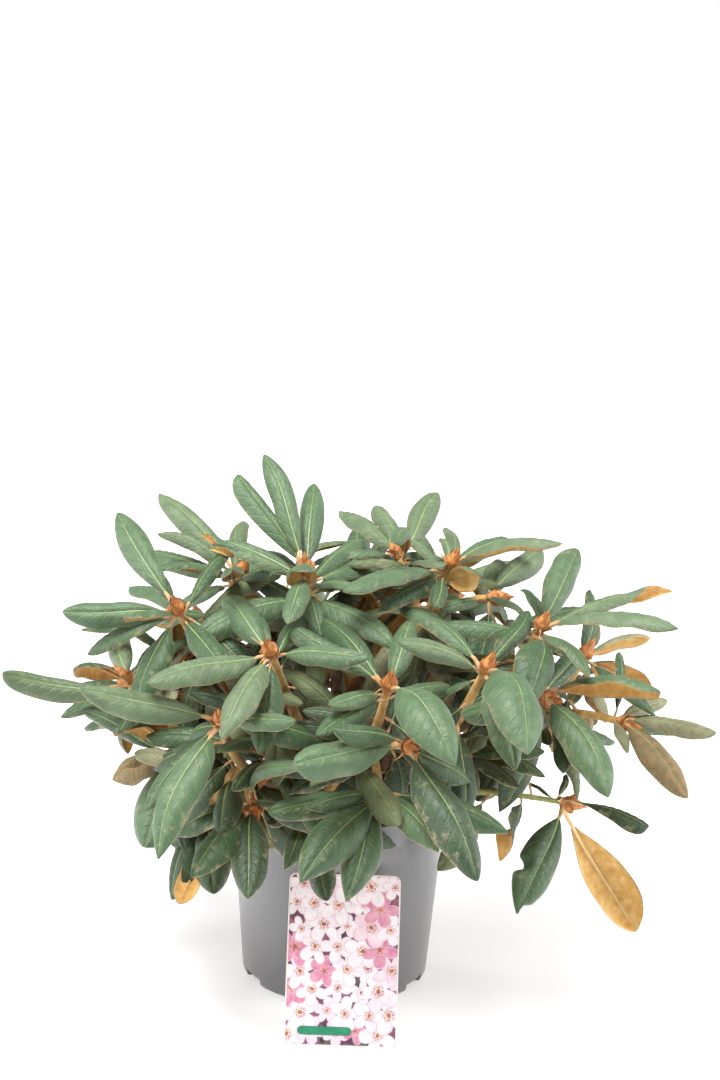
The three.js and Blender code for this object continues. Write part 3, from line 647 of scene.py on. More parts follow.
LEAF_CELL = 14
LEAF_BUMPS = [(0.9, 0.16), (4, 0.3)]
NET_CELL, NET_DEPTH, NET_WIDTH = 2.6, 0.15, 0.25  # the mesh of the smallest veins
VEIN_WIDTH, VEIN_DEPTH, VEIN_PALENESS = 0.12, 0.3, 0.13  # the width is a share of the step between veins
SCUFF_CELL, SCUFF_RARITY, SCUFF_SHARPNESS = 11, 0.575, 7
EDGE_WEAR, EDGE_POWER = 0.11, 6  # how much sooner an edge is scuffed, and how near to it
WORN = (149, 136, 107)


def vein_chart(material):
    """The vein number and the lane, which the leaves' meshes carry."""
    chart = add_node(material, "ShaderNodeUVMap")
    chart.uv_map = "veins"
    split = add_node(material, "ShaderNodeSeparateXYZ", Vector=chart.outputs["UV"])
    return split.outputs["X"], split.outputs["Y"]


def vein_strength(material, vein_socket):
    """1 on a side vein, and 0 beside it."""
    nearest = number(material, "PINGPONG", vein_socket, 0.5)
    strength = number(material, "SUBTRACT", 1, number(material, "DIVIDE", nearest, VEIN_WIDTH))
    return number(material, "MAXIMUM", strength, 0)


def vein_net(material):
    """The height of the small cells between the finest veins, from 0 to 1."""
    net = add_node(material, "ShaderNodeTexVoronoi")
    net.feature = "DISTANCE_TO_EDGE"
    feed(material, net, Scale=1 / (NET_CELL * MM), Vector=own_place(material))
    height = number(material, "MINIMUM", net.outputs["Distance"], NET_WIDTH)
    return number(material, "DIVIDE", height, NET_WIDTH)


def scuffs(material, lane):
    """Where the face is scuffed: in patches, and sooner at its edges."""
    edge = number(material, "POWER", number(material, "ABSOLUTE", lane), EDGE_POWER)
    patch = number(material, "ADD", cloud(material, own_place(material), SCUFF_CELL, 6, 0.75),
                   number(material, "MULTIPLY", edge, EDGE_WEAR))
    patch = number(material, "MULTIPLY", number(material, "SUBTRACT", patch, SCUFF_RARITY), SCUFF_SHARPNESS)
    return number(material, "MINIMUM", number(material, "MAXIMUM", patch, 0), 1)


def leaf_finish(name, dark, mid, light, roughness, wear, spots=None):
    """A leaf's upper face: mottled, with sunken side veins, a fine net between them and scuffs."""
    material = finish(f"leaf_{name}", {0.14: dark, 0.5: mid, 0.86: light}, LEAF_CELL, roughness,
                      bumps=LEAF_BUMPS, spots=spots, Sheen_Weight=0.1, Sheen_Roughness=0.5,
                      Specular_IOR_Level=0.5)
    vein_socket, lane = vein_chart(material)
    vein = vein_strength(material, vein_socket)
    raise_surface(material, vein_net(material), NET_DEPTH)
    raise_surface(material, number(material, "SUBTRACT", 1, vein), VEIN_DEPTH)
    colour = surface(material).inputs["Base Color"].links[0].from_socket
    pale = rgb(*[min(255, 1.25 * part) for part in light])
    colour = blend(material, number(material, "MULTIPLY", vein, VEIN_PALENESS), colour, pale)
    share = number(material, "MULTIPLY", scuffs(material, lane), wear)
    feed(material, surface(material), Base_Color=blend(material, share, colour, rgb(*WORN)))
    return material


# ---------------------------------------------------------------- the materials

# From the pale bloom of the newest leaves to the oldest inside the crown, and the weathered ones. The
# darker tints also stand for painted shade low and inside the crown, and the paler ones for painted light
# high and out.
LEAF_TINTS = {
    "silver": ((63, 81, 52), (76, 94, 62), (99, 118, 85), 0.52, 0.25),
    "sage": ((48, 71, 41), (60, 85, 51), (82, 107, 71), 0.5, 0.4),
    "green": ((32, 56, 25), (41, 69, 32), (58, 88, 47), 0.47, 0.6),
    "olive": ((62, 74, 40), (76, 88, 50), (98, 105, 66), 0.58, 0.5, ((128, 102, 64), 5, 0.6)),
    "deep": ((22, 41, 14), (30, 53, 20), (43, 70, 30), 0.5, 0.62),
    "dusty": ((84, 89, 62), (107, 109, 79), (140, 137, 106), 0.7, 0.6, ((144, 120, 84), 4, 0.56)),
    "rusty": ((84, 72, 46), (112, 97, 62), (142, 126, 88), 0.7, 0.5, ((136, 100, 58), 5, 0.52)),
}
FELT_TINTS = {
    "copper": {0.3: (170, 120, 54), 0.5: (192, 143, 72), 0.72: (210, 166, 96)},
    "straw": {0.3: (188, 142, 72), 0.5: (204, 162, 92), 0.72: (222, 190, 128)},
}
STRAW_RELIEF = 0.52  # leaves with more relief than this have straw felt


def fuzzy(weight, roughness=0.4):
    return {"Sheen_Weight": weight, "Sheen_Roughness": roughness}


def felt_finish(name):
    return finish(f"felt_{name}", FELT_TINTS[name], 9, 0.85, bumps=[(0.7, 0.12), (3, 0.2)], **fuzzy(0.5))


def midrib_finish():
    return finish("midrib", {0.35: (112, 130, 78), 0.65: (142, 156, 100)}, 6, 0.5, bumps=[(1.2, 0.08)])


def stalk_finish():
    return finish("stalk_felt", {0.3: (150, 108, 62), 0.55: (182, 144, 96), 0.75: (206, 176, 130)}, 5, 0.8,
                  bumps=[(0.8, 0.15)], **fuzzy(0.4))


def pale_stalk_finish():
    return finish("stalk_straw", {0.35: (204, 170, 114), 0.65: (224, 196, 146)}, 5, 0.75,
                  bumps=[(0.8, 0.12)], **fuzzy(0.4))


def bud_finish():
    return finish("bud_scale", {0.3: (122, 68, 27), 0.5: (176, 107, 46), 0.72: (208, 150, 80)}, 5, 0.6,
                  bumps=[(0.9, 0.12)], **fuzzy(0.2))


def bud_edge_finish():
    return finish("bud_scale_edge", {0.35: (172, 104, 48), 0.65: (204, 148, 84)}, 3, 0.7,
                  bumps=[(0.7, 0.1)])


def young_bark_finish():
    return finish("young_bark", {0.3: (140, 104, 47), 0.5: (175, 136, 69), 0.72: (200, 165, 97)}, 6, 0.75,
                  (1, 1, 0.45), bumps=[(1.2, 0.3), (4, 0.4)], **fuzzy(0.3, 0.5))


def old_bark_finish():
    return finish("old_bark", {0.3: (74, 56, 38), 0.5: (112, 90, 64), 0.7: (150, 128, 96)}, 7, 0.85,
                  (1, 1, 0.35), bumps=[(1.2, 0.5), (5, 0.8)])


def green_bark_finish():
    return finish("green_bark", {0.3: (106, 110, 58), 0.5: (132, 135, 78), 0.7: (154, 152, 96)}, 7, 0.7,
                  bumps=[(1.2, 0.25)])


def pot_finish():
    return finish("pot_plastic", {0.3: (92, 91, 92), 0.5: (95, 94, 95), 0.7: (99, 98, 99)}, 50, 0.4,
                  (1, 1, 0.3), bumps=[(0.6, 0.02)], spots=((150, 146, 140), 3, 0.72), Coat_Weight=0.5,
                  Coat_Roughness=0.28)


def compost_finish():
    return finish("compost", {0.3: (30, 22, 16), 0.5: (52, 38, 27), 0.7: (84, 64, 45)}, 4, 0.95,
                  bumps=[(1.0, 0.7), (4, 1.2)])


def crumb_finish():
    return finish("compost_crumb", {0.3: (58, 40, 26), 0.5: (92, 66, 42), 0.72: (132, 100, 66)}, 5, 0.95,
                  bumps=[(0.8, 0.4)])


def card_finish(name, dark, light):
    return finish(name, {0.35: dark, 0.65: light}, 9, 0.32, bumps=[(14, 0.03)], Coat_Weight=0.6,
                  Coat_Roughness=0.12)


def floor_finish():
    """A pale floor that glows with distance, as a lit studio wall behind would look; its glow near the
    plant is painted light that lifts the shadows cast on it.
    """
    material = finish("floor", {0.3: (232, 234, 236), 0.7: (236, 238, 240)}, 400, 0.7,
                      Emission_Color=(1, 1, 1, 1))
    reach = add_node(material, "ShaderNodeVectorMath")
    reach.operation = "LENGTH"
    material.node_tree.links.new(own_place(material), reach.inputs[0])
    (near, least), (far, most) = FLOOR_GLOW
    glow = ranged(material, reach.outputs["Value"], near, far, least, most)
    feed(material, surface(material), Emission_Strength=glow)
    return material


# ---------------------------------------------------------------- the pot and the compost


def wall_radius(z):
    return POT_BASE_RADIUS + (POT_TOP_RADIUS - POT_BASE_RADIUS) * z / POT_HEIGHT


def arc(centre, radius, start, end, count):
    """Points of an arc in a plane, from one turn in degrees to another."""
    turns = np.radians(np.linspace(start, end, count))
    return [(centre[0] + radius * math.cos(a), centre[1] + radius * math.sin(a)) for a in turns]


def pot_turns():
    """Turns of the pot's columns, with two close together at each side of each notch."""
    far = 180 / FOOT_COUNT
    half = math.degrees(math.asin(FOOT_NOTCH_WIDTH / 2 / POT_BASE_RADIUS))
    stops = [-far, (-far - half) / 2, -half - NOTCH_EDGE, -half + NOTCH_EDGE, half - NOTCH_EDGE,
             half + NOTCH_EDGE, far]
    turns = []
    for foot in range(FOOT_COUNT):
        middle = (2 * foot + 1) * far
        for low, high, count in zip(stops, stops[1:], NOTCH_COLUMNS):
            turns += [middle + low + (high - low) * k / count for k in range(count)]
    turns = np.array(turns)
    return np.radians(turns), np.abs(turns % (2 * far) - far) < half


def pot_profile():
    """The outline that the pot is turned from, as radii and heights: up its outside and down inside."""
    band_foot = POT_HEIGHT - POT_BAND_HEIGHT
    outer = [(wall_radius(z), z) for z in np.linspace(3, band_foot, 26)]
    band = [(wall_radius(z) + POT_BAND_STEP, z)
            for z in np.linspace(band_foot + 1, POT_HEIGHT - RIM_ROUNDING - 1, 8)]
    rim = arc((POT_TOP_RADIUS + POT_BAND_STEP - RIM_ROUNDING, POT_HEIGHT - RIM_ROUNDING), RIM_ROUNDING,
              0, 180, 9)
    inner = [(wall_radius(z) - POT_WALL, z) for z in np.linspace(POT_HEIGHT - 3, CHANNEL_FLOOR, 12)]
    foot = [(POT_HOLE, 0), (STANDING_DISC_RADIUS, 0), (STANDING_DISC_RADIUS + POT_WALL, CHANNEL_HEIGHT),
            (CHANNEL_OUTER_RADIUS, CHANNEL_HEIGHT), (CHANNEL_OUTER_RADIUS + POT_WALL, 0),
            (POT_BASE_RADIUS - POT_WALL, 0), (POT_BASE_RADIUS - 0.7, FOOT_BEVEL)]
    floor = [(STANDING_DISC_RADIUS, CHANNEL_FLOOR), (STANDING_DISC_RADIUS - POT_WALL, DISC_FLOOR),
             (POT_HOLE, DISC_FLOOR)]
    return (np.array(column)[:, None] for column in zip(*foot, *outer, *band, *rim, *inner, *floor))


def make_pot():
    """The pot: a turned shell with a rolled rim, a thicker band, feet with notches and drain holes."""
    turns, in_notch = pot_turns()
    radius, height = pot_profile()
    cut = in_notch[None, :] & (radius > CHANNEL_OUTER_RADIUS) & (height < NOTCH_HEIGHT)
    batch = Batch()
    batch.grid(round_points(radius, turns, np.where(cut, NOTCH_HEIGHT, height)), closed=True, flip=True)
    drill_drains(batch.made("pot_shell", pot_finish(), "pot_plastic", ["pot"]))


def drill_drains(pot):
    """Drain holes through the raised channel, one at each foot."""
    count = DRAIN_SIDES
    sides = [[k, count + k, count + (k + 1) % count, (k + 1) % count] for k in range(count)]
    ends = [list(range(count)), list(range(2 * count - 1, count - 1, -1))]
    cutter = Batch()
    for foot in range(FOOT_COUNT):
        middle = round_points(DRAIN_CIRCLE, (foot + 0.5) * 2 * math.pi / FOOT_COUNT, 0)
        rings = [middle + round_points(DRAIN_RADIUS, round_turns(count), z)
                 for z in (CHANNEL_FLOOR + DRAIN_SPARE, CHANNEL_HEIGHT - DRAIN_SPARE)]
        cutter.add(rings, sides + ends)
    tool = linked("drain_cutter", cutter.mesh("drain_cutter"))
    cut = pot.modifiers.new("drains", "BOOLEAN")
    cut.operation, cut.object, cut.solver = "DIFFERENCE", tool, "EXACT"
    shaped = bpy.data.meshes.new_from_object(pot.evaluated_get(bpy.context.evaluated_depsgraph_get()))
    pot.modifiers.clear()
    pot.data = shaped
    bpy.data.objects.remove(tool)


SOIL_EDGE = SOIL_TOP - SOIL_EDGE_DROP
SOIL_REACH = wall_radius(SOIL_EDGE) - POT_WALL - 2 * GAP


def soil_height(away):
    """The compost's plain height, which falls toward the wall."""
    outer = (away - SOIL_FLAT_RADIUS) / (SOIL_REACH - SOIL_FLAT_RADIUS)
    return SOIL_TOP - SOIL_EDGE_DROP * np.clip(outer, 0, 1)


def make_soil():
    """The compost: a domed, lumpy top over a plain body."""
    r, a = np.meshgrid(np.linspace(SOIL_HOLE, SOIL_REACH, 64), round_turns(180), indexing="ij")
    lumps = np.array([noise.fractal((x / SOIL_LUMP, y / SOIL_LUMP, 3.1), *SOIL_NOISE)
                      for x, y, _ in round_points(r, a, 0).reshape(-1, 3)]).reshape(r.shape)
    calm = 1 - SOIL_CALM * (r / SOIL_REACH) ** 8
    top = round_points(r, a, soil_height(r) - SOIL_SINK + SOIL_RELIEF * lumps * calm)
    wall = top[-1] * [1, 1, 0] + [0, 0, CHANNEL_FLOOR + GAP]
    wall[:, :2] *= (wall_radius(SOIL_FOOT) - POT_WALL - 1) / SOIL_REACH
    batch = Batch()
    batch.grid(np.concatenate([top, wall[None]]), closed=True, flip=True)
    batch.cap(wall.mean(0), wall[::-1])
    batch.made("compost_body", compost_finish(), "compost", ["soil"])


def make_crumbs():
    """Loose crumbs on the compost, a few of them bigger."""
    batch = Batch()
    draw = np.random.default_rng(CRUMB_SEED)
    big, growth = BIG_CRUMBS
    for _ in range(CRUMB_COUNT):
        away = SOIL_REACH * 0.97 * math.sqrt(draw.uniform(0, 1))
        turn = draw.uniform(0, 2 * math.pi)
        size = draw.uniform(*CRUMB_SIZES) * (growth if draw.uniform() > big else 1)
        add_crumb(batch, round_points(away, turn, soil_height(away) - SOIL_SINK / 2), size, draw)
    batch.made("compost_crumbs", crumb_finish(), "compost", ["soil"], smooth=False)


def add_crumb(batch, middle, size, draw):
    """A small chip: a squashed, uneven six-sided lump."""
    stretch = draw.uniform(0.5, 1.6, 3) * [1, 1, 0.6]
    turn = Matrix.Rotation(draw.uniform(0, 6.28), 3, draw.normal(size=3).tolist())
    rings = []
    for level, girth in [(-1, 0.35), (-0.4, 0.9), (0.4, 0.9), (1, 0.35)]:
        ring = round_points(girth, round_turns(6), 0.7 * level)
        rings.append(ring * draw.uniform(0.75, 1.2, (6, 1)) * stretch * size)
    faces = [[r * 6 + k, r * 6 + (k + 1) % 6, r * 6 + 6 + (k + 1) % 6, r * 6 + 6 + k]
             for r in range(3) for k in range(6)]
    batch.add(np.concatenate(rings) @ np.array(turn).T + middle,
              faces + [[5, 4, 3, 2, 1, 0], [18, 19, 20, 21, 22, 23]])


# ---------------------------------------------------------------- the picture tag

CARD_BOX = (CARD_MARGIN - TAG_WIDTH / 2, TAG_WIDTH / 2 - CARD_MARGIN, CARD_MARGIN, TAG_HEIGHT - CARD_MARGIN)
PETAL_INKS = ["petal_white", "petal_white", "petal_white", "petal_shell", "petal_rose"]
CARD_INKS = {
    "ground": ((84, 60, 76), (176, 106, 134)), "sprig": ((74, 74, 74), (112, 104, 100)),
    "edge": ((218, 180, 200), (234, 210, 222)), "petal_white": ((230, 222, 228), (246, 240, 244)),
    "petal_shell": ((232, 202, 216), (242, 224, 232)), "petal_rose": ((206, 120, 154), (226, 166, 188)),
    "throat": ((210, 150, 160), (226, 180, 186)), "heart": ((156, 88, 52), (204, 136, 76)),
    "ribbon": ((34, 124, 92), (52, 146, 108)),
}


def on_card(points, lift):
    """Places of a card's points, given across it, up it from its foot, and lifted off its face."""
    x, up = (np.asarray(column, float) for column in zip(*points))
    off = TAG_THICKNESS + lift
    reach = wall_radius(TAG_HEIGHT * math.sin(TAG_LEAN)) + 2 * GAP + TAG_HEIGHT * math.cos(TAG_LEAN)
    return np.stack([TAG_X + x, -reach + up * math.cos(TAG_LEAN) - off * math.sin(TAG_LEAN),
                     GAP + up * math.sin(TAG_LEAN) + off * math.cos(TAG_LEAN)], -1)


def card_outline(inset):
    """The card's outline with its round corners, drawn in by an inset."""
    w, h, r = TAG_WIDTH / 2 - inset, TAG_HEIGHT - inset, TAG_CORNER - inset
    corners = [(w - r, inset + r), (w - r, h - r), (r - w, h - r), (r - w, inset + r)]
    return [p for k, corner in enumerate(corners) for p in arc(corner, r, 90 * k - 90, 90 * k, 8)]


def clipped(outline, box):
    """The part of a convex outline inside a box of x and y limits."""
    for axis, limit, sign in [(0, box[0], 1), (0, box[1], -1), (1, box[2], 1), (1, box[3], -1)]:
        kept = []
        for a, b in zip(outline, outline[1:] + outline[:1]):
            inside_a, inside_b = (sign * (p[axis] - limit) >= 0 for p in (a, b))
            if inside_a:
                kept.append(a)
            if inside_a != inside_b:
                share = (limit - a[axis]) / (b[axis] - a[axis])
                kept.append((a[0] + share * (b[0] - a[0]), a[1] + share * (b[1] - a[1])))
        outline = kept
    return outline


def oval(centre, reach, girth, turn, count=20):
    """An egg-shaped outline, blunt at its far end."""
    points = []
    for a in round_turns(count):
        x, y = reach * math.cos(a), girth * math.sin(a) * (1 + 0.22 * math.cos(a))
        points.append((centre[0] + x * math.cos(turn) - y * math.sin(turn),
                       centre[1] + x * math.sin(turn) + y * math.cos(turn)))
    return points


def make_tag():
    """The picture tag: a glossy card, and on it a plain pattern of five-petalled blossoms and leaves."""
    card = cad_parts["picture_tag"]
    card.data.materials.clear()
    card.data.materials.append(card_finish("card_stock", (236, 232, 226), (246, 243, 238)))
    inks = {name: Batch() for name in CARD_INKS}

    def stamp(ink, outline, lift):
        outline = clipped(outline, CARD_BOX)
        if len(outline) > 2:
            inks[ink].add(on_card(outline, lift), [list(range(len(outline)))])

    stamp("ground", card_outline(CARD_MARGIN), 0.03)
    draw = np.random.default_rng(PRINT_SEED)
    lift = 0.06
    for _ in range(SPRIG_COUNT):
        middle = (draw.uniform(*CARD_BOX[:2]), draw.uniform(*CARD_BOX[2:]))
        stamp("sprig", oval(middle, *SPRIG_SIZE, draw.uniform(0, 6.28)), lift)
    for row in range(BLOSSOM_ROWS):
        for column in range(BLOSSOM_COLUMNS):
            x = ((column + 0.25 + 0.5 * (row % 2)) / BLOSSOM_COLUMNS - 0.5) * TAG_WIDTH
            y = (row + 0.6) / (BLOSSOM_ROWS + 0.1) * TAG_HEIGHT
            lift += INK_STEP
            shift = draw.uniform(-BLOSSOM_SHIFT, BLOSSOM_SHIFT, 2)
            stamp_blossom(stamp, (x + shift[0], y + shift[1]), draw.uniform(*BLOSSOM_RADIUS), lift, draw)
    left, right = RIBBON_ENDS
    stamp("ribbon", arc(left, RIBBON_HALF, 90, 270, 8) + arc(right, RIBBON_HALF, -90, 90, 8), lift + 0.1)
    for ink, batch in inks.items():
        material = card_finish(f"print_{ink}", *CARD_INKS[ink])
        batch.made(f"tag_{ink}", material, "tag_card", [], smooth=False)


def stamp_blossom(stamp, middle, radius, lift, draw):
    """One blossom: petals with a soft edge and a streaked throat, and a heart of stamens."""
    turn = draw.uniform(0, 2 * math.pi)
    ink = PETAL_INKS[int(draw.integers(len(PETAL_INKS)))]

    def at(reach, angle):
        return (middle[0] + reach * radius * math.cos(angle), middle[1] + reach * radius * math.sin(angle))

    for k in range(PETAL_COUNT):
        angle = turn + (k + draw.uniform(-0.12, 0.12)) * 2 * math.pi / PETAL_COUNT
        size = radius * draw.uniform(0.9, 1.08)
        girth = size * draw.uniform(0.27, 0.38)
        stamp("edge", oval(at(0.5, angle), 0.5 * size, girth, angle), lift + 0.002 * k)
        stamp(ink, oval(at(0.485, angle), 0.47 * size, 0.9 * girth, angle), lift + 0.001 + 0.002 * k)
        for side in (-0.24, 0, 0.24):
            streak = oval(at(0.24, angle + side), 0.12 * radius, 0.02 * radius, angle + side, 8)
            stamp("throat", streak, lift + 0.02)
        stamp("heart", oval(at(0.2, angle + 0.6), 0.05 * radius, 0.04 * radius, angle, 8), lift + 0.03)
    stamp("heart", oval(middle, 0.13 * radius, 0.1 * radius, turn, 12), lift + 0.025)


# ---------------------------------------------------------------- trunk and boughs


def trunk_point(t):
    foot = np.array([*TRUNK_FOOT, SOIL_TOP + GAP], float)
    return foot + (np.array(TRUNK_TOP, float) - foot) * np.asarray(t, float)[..., None]


def bough_curves():
    curves = {}
    for name, (parent, at, tip, _) in BOUGHS.items():
        start = trunk_point(at) if parent == "trunk" else curves[parent].point(at)
        bend = start + (np.array(tip) - start) * BOUGH_BEND[0]
        bend[2] = start[2] + BOUGH_BEND[1] * (tip[2] - start[2])
        curves[name] = Curve(start, bend, tip)
    return curves


def bark_relief(points, middles, depth, cell):
    """Moves points out from their middles by furrowed noise, longer along the limb than across."""
    furrows = [noise.ridged_multi_fractal((x / cell, y / cell, z / (BARK_STRETCH * cell)), *BARK_NOISE)
               for x, y, z in points.reshape(-1, 3)]
    furrows = np.array(furrows).reshape(points.shape[:-1] + (1,))
    return points + unit(points - middles) * (depth * (furrows - BARK_LEVEL))


def add_trunk(batch):
    """The trunk with its root flare."""
    level, turn = np.meshgrid(np.linspace(0, 1, TRUNK_RINGS), round_turns(TRUNK_SIDES), indexing="ij")
    radius = np.interp(level, TRUNK_LEVELS, TRUNK_RADII)
    flare = np.clip(1 - level / TRUNK_LEVELS[1], 0, 1) ** 2
    radius = radius + ROOT_RIDGE * flare * (0.5 + 0.5 * np.cos(5 * turn))
    middles = trunk_point(level)
    points = middles + round_points(radius, turn, 0)
    points[1:-1] = bark_relief(points, middles, *TRUNK_BARK)[1:-1]
    batch.grid(points, closed=True)
    batch.cap(middles[-1, 0] + [0, 0, 3], points[-1])
    batch.cap(middles[0, 0], points[0][::-1])


def add_bough(batch, curve, radii):
    share = np.linspace(0, 1, max(12, int(curve.length / BOUGH_CELL)))
    size = np.interp(share, [0, 1], radii) * (1 + BOUGH_COLLAR * np.exp(-share / 0.05))
    centres = curve.point(share)
    points = bark_relief(tube_points(centres, size, BOUGH_SIDES), centres[:, None], *BOUGH_BARK)
    batch.grid(points, closed=True)
    batch.cap(centres[-1], points[-1])


def make_limbs(curves):
    """The trunk and every bough, with the bark's relief, as one mesh."""
    batch = Batch()
    add_trunk(batch)
    for name, curve in curves.items():
        add_bough(batch, curve, BOUGHS[name][-1])
    batch.made("bark_limbs", old_bark_finish(), "bark", ["trunk", *BOUGHS])


# ---------------------------------------------------------------- twigs and buds

FOLIAGE = list(MASSES)  # the nodes that twigs, buds and leaves stand in for


def add_twig(batch, shoot, girth=1):
    """A twig with the rings that old bud scales left and the scars of dropped leaves."""
    curve, foot = shoot["twig"], shoot["radius"]
    share = np.linspace(0, 1, max(14, int(curve.length / TWIG_CELL)))
    draw = np.random.default_rng(shoot["seed"])
    scars = draw.uniform(0.1, 0.95, SCAR_COUNT)
    sides = draw.uniform(0, 2 * math.pi, SCAR_COUNT)
    band = draw.uniform(0.3, 0.55)

    def relief(turn, place):
        along = (place - band) * curve.length
        swelling, rings = (size * bump_at(along, reach) for size, reach in zip(RING_RELIEF, RING_REACH))
        size = 1 + swelling + rings * np.sin(RING_BEAT * along)
        for scar, side in zip(scars, sides):
            near = bump_at((place - scar) * curve.length, SCAR_REACH)
            size = size + SCAR_RELIEF * near * np.clip(np.cos(turn - side), 0, 1) ** 3
        return size

    swollen, swelling = TWIG_FOOT
    size = girth * np.interp(share, [0, swollen, 1], [foot * swelling, foot, TWIG_TIP_RADIUS])
    centres = curve.point(share)
    points = tube_points(centres, size, TWIG_SIDES, relief)
    batch.grid(points, closed=True)
    batch.cap(centres[-1] + shoot["axis"] * 2, points[-1])


def bud_radius(height):
    """How thick a bud is at a height over its foot."""
    share = np.clip(np.asarray(height, float) / BUD_LENGTH, 0, 1)
    belly = BUD_BELLY / BUD_LENGTH
    swelling = np.sin(np.clip(share / belly, 0, 1) * math.pi / 2)
    low = TWIG_TIP_RADIUS + (BUD_RADIUS - TWIG_TIP_RADIUS) * swelling
    high = BUD_RADIUS * np.clip((1 - share) / (1 - belly), 0, 1) ** BUD_POINT
    return BUD_SLIMNESS * np.where(share < belly, low, high)


def bud_scale(shoot, k, reach, opening, u, w, lift):
    """Points of a bud's scale, counted from the outermost, at shares up it and from side to side."""
    inner = k / (BUD_SCALES - 1)
    width = math.radians(SCALE_TURNS[0] - SCALE_TURNS[1] * inner)
    width = width * np.sin(np.clip(u * 0.8 + 0.2, 0, 1) * math.pi) ** 0.6
    height = SCALE_CLIMB[0] + SCALE_CLIMB[1] * inner + reach * u - 0.8 * w * w
    radius = bud_radius(height) + 1.2 * (1 - inner) + lift + opening * u ** 4
    angle = math.radians(GOLDEN_ANGLE) * k + w * width
    return (shoot["bud"] + shoot["axis"] * height[..., None] + radius[..., None]
            * (np.cos(angle)[..., None] * shoot["side"] + np.sin(angle)[..., None] * shoot["out"]))


def add_bud(scales, edges, shoot, draw):
    """A pointed bud of long scales pressed together, each with a pale edge."""
    heights = np.linspace(0, BUD_LENGTH * 0.97, 9)
    core = shoot["bud"] + shoot["axis"] * heights[:, None]
    scales.grid(tube_points(core, np.maximum(bud_radius(heights) * 0.9, 0.2), 12), closed=True)
    inner = np.linspace(0, 1, BUD_SCALES)
    reaches = (SCALE_REACH[0] + SCALE_REACH[1] * inner) * draw.uniform(0.88, 1.08, BUD_SCALES)
    opens = np.where(inner < 0.3, *SCALE_OPENING) * draw.uniform(0.1, 1, BUD_SCALES)
    for k in range(BUD_SCALES):
        place = np.meshgrid(np.linspace(0, 1, 8), np.linspace(-1, 1, 6), indexing="ij")
        scales.grid(bud_scale(shoot, k, reaches[k], opens[k], *place, SCALE_LIFT))
        for rim in ([-1, -0.84], [0.84, 1]):
            place = np.meshgrid(np.linspace(0.15, 1, 8), rim, indexing="ij")
            edges.grid(bud_scale(shoot, k, reaches[k], opens[k], *place, SCALE_EDGE_LIFT))


def add_bracts(batch, shoot, draw):
    """Thin bracts that curve away from a bud's foot."""
    for _ in range(BRACT_COUNT):
        angle, reach = draw.uniform(0, 2 * math.pi), draw.uniform(*BRACT_REACH)
        away = math.cos(angle) * shoot["side"] + math.sin(angle) * shoot["out"]
        start = shoot["bud"] + away * TWIG_TIP_RADIUS
        bract = Curve(start, start + reach * (0.4 * away + 0.7 * shoot["axis"]),
                      start + reach * (away + draw.uniform(-0.1, 0.7) * shoot["axis"]))
        centres = bract.point(np.linspace(0, 1, 9))
        batch.grid(tube_points(centres, np.linspace(*BRACT_RADII, 9), 6), closed=True)


def make_twigs_and_buds(shoots, stalk_material):
    young, green, scales, edges, bracts = (Batch() for _ in range(5))
    for shoot in shoots:
        if shoot["node"] == GREEN_SHOOTS:
            add_twig(green, shoot, GREEN_GIRTH)
        else:
            add_twig(young, shoot)
        draw = np.random.default_rng(shoot["seed"] + BUD_SEED)
        add_bud(scales, edges, shoot, draw)
        add_bracts(bracts, shoot, draw)
    young.made("twigs_young", young_bark_finish(), "bark", FOLIAGE)
    green.made("twigs_green", green_bark_finish(), "bark", FOLIAGE)
    scales.made("bud_scales", bud_finish(), "bud_scale", FOLIAGE)
    edges.made("bud_scale_edges", bud_edge_finish(), "bud_scale", FOLIAGE)
    bracts.made("bud_bracts", stalk_material, "underside", FOLIAGE)


# ---------------------------------------------------------------- the source's plain leaves, for room


def leaf_axes(leaf):
    """A leaf's own axes: along it, the way its face looks, and across it."""
    along = direction(leaf["heading"], leaf["rise"])
    middle = leaf["root"] + along * leaf["length"] / 2
    face = np.array([*(OUTWARD_TILT * middle[:2] / CROWN_RADIUS), 1])
    face = unit(face - along * face.dot(along))
    roll = math.radians(-leaf["roll"] if along[0] < 0 else leaf["roll"])
    face = face * math.cos(roll) + np.cross(along, face) * math.sin(roll)
    return along, face, np.cross(along, face)


def midrib_point(leaf, axes, t):
    along, face, _ = axes
    return leaf["root"] + leaf["length"] * (along * t + face * 4 * t * (1 - t) * leaf["arch"])


def plain_ring(leaf, axes, t, half_width, thickness):
    along, face, across = axes
    slope = along + face * 4 * (1 - 2 * t) * leaf["arch"]
    normal = unit(np.cross(across, slope))
    middle = midrib_point(leaf, axes, t)
    edges = [middle + half_width * (sign * across - LEAF_FOLD * normal) for sign in (-1, 1)]
    return edges + [middle + normal * thickness]


def skinned(rings):
    """Points and faces over rings; a ring of one point is a tip."""
    points, starts, faces = [], [], []
    for ring in rings:
        starts.append(len(points))
        points += list(ring)
    for r, (lower, upper) in enumerate(zip(rings, rings[1:])):
        sides = max(len(lower), len(upper))
        for k in range(sides):
            low = [starts[r] + i % len(lower) for i in (k, (k + 1) % sides)]
            high = [starts[r + 1] + i % len(upper) for i in (k, (k + 1) % sides)]
            if low[0] != low[1]:
                faces.append([low[0], low[1], high[1]])
            if high[0] != high[1]:
                faces.append([low[0], high[1], high[0]])
    for ring, start in ((rings[0], starts[0]), (rings[-1], starts[-1])):
        faces += [[start, start + k, start + k + 1] for k in range(1, len(ring) - 1)]
    return points, faces


class Solid:
    """A closed body's surface, for finding what touches it."""

    def __init__(self, points, faces):
        self.low, self.high = np.min(points, 0), np.max(points, 0)
        self.tree = BVHTree.FromPolygons([tuple(p) for p in points], faces)

    def touches(self, other):
        apart = (self.low > other.high).any() or (other.low > self.high).any()
        return not apart and bool(self.tree.overlap(other.tree))


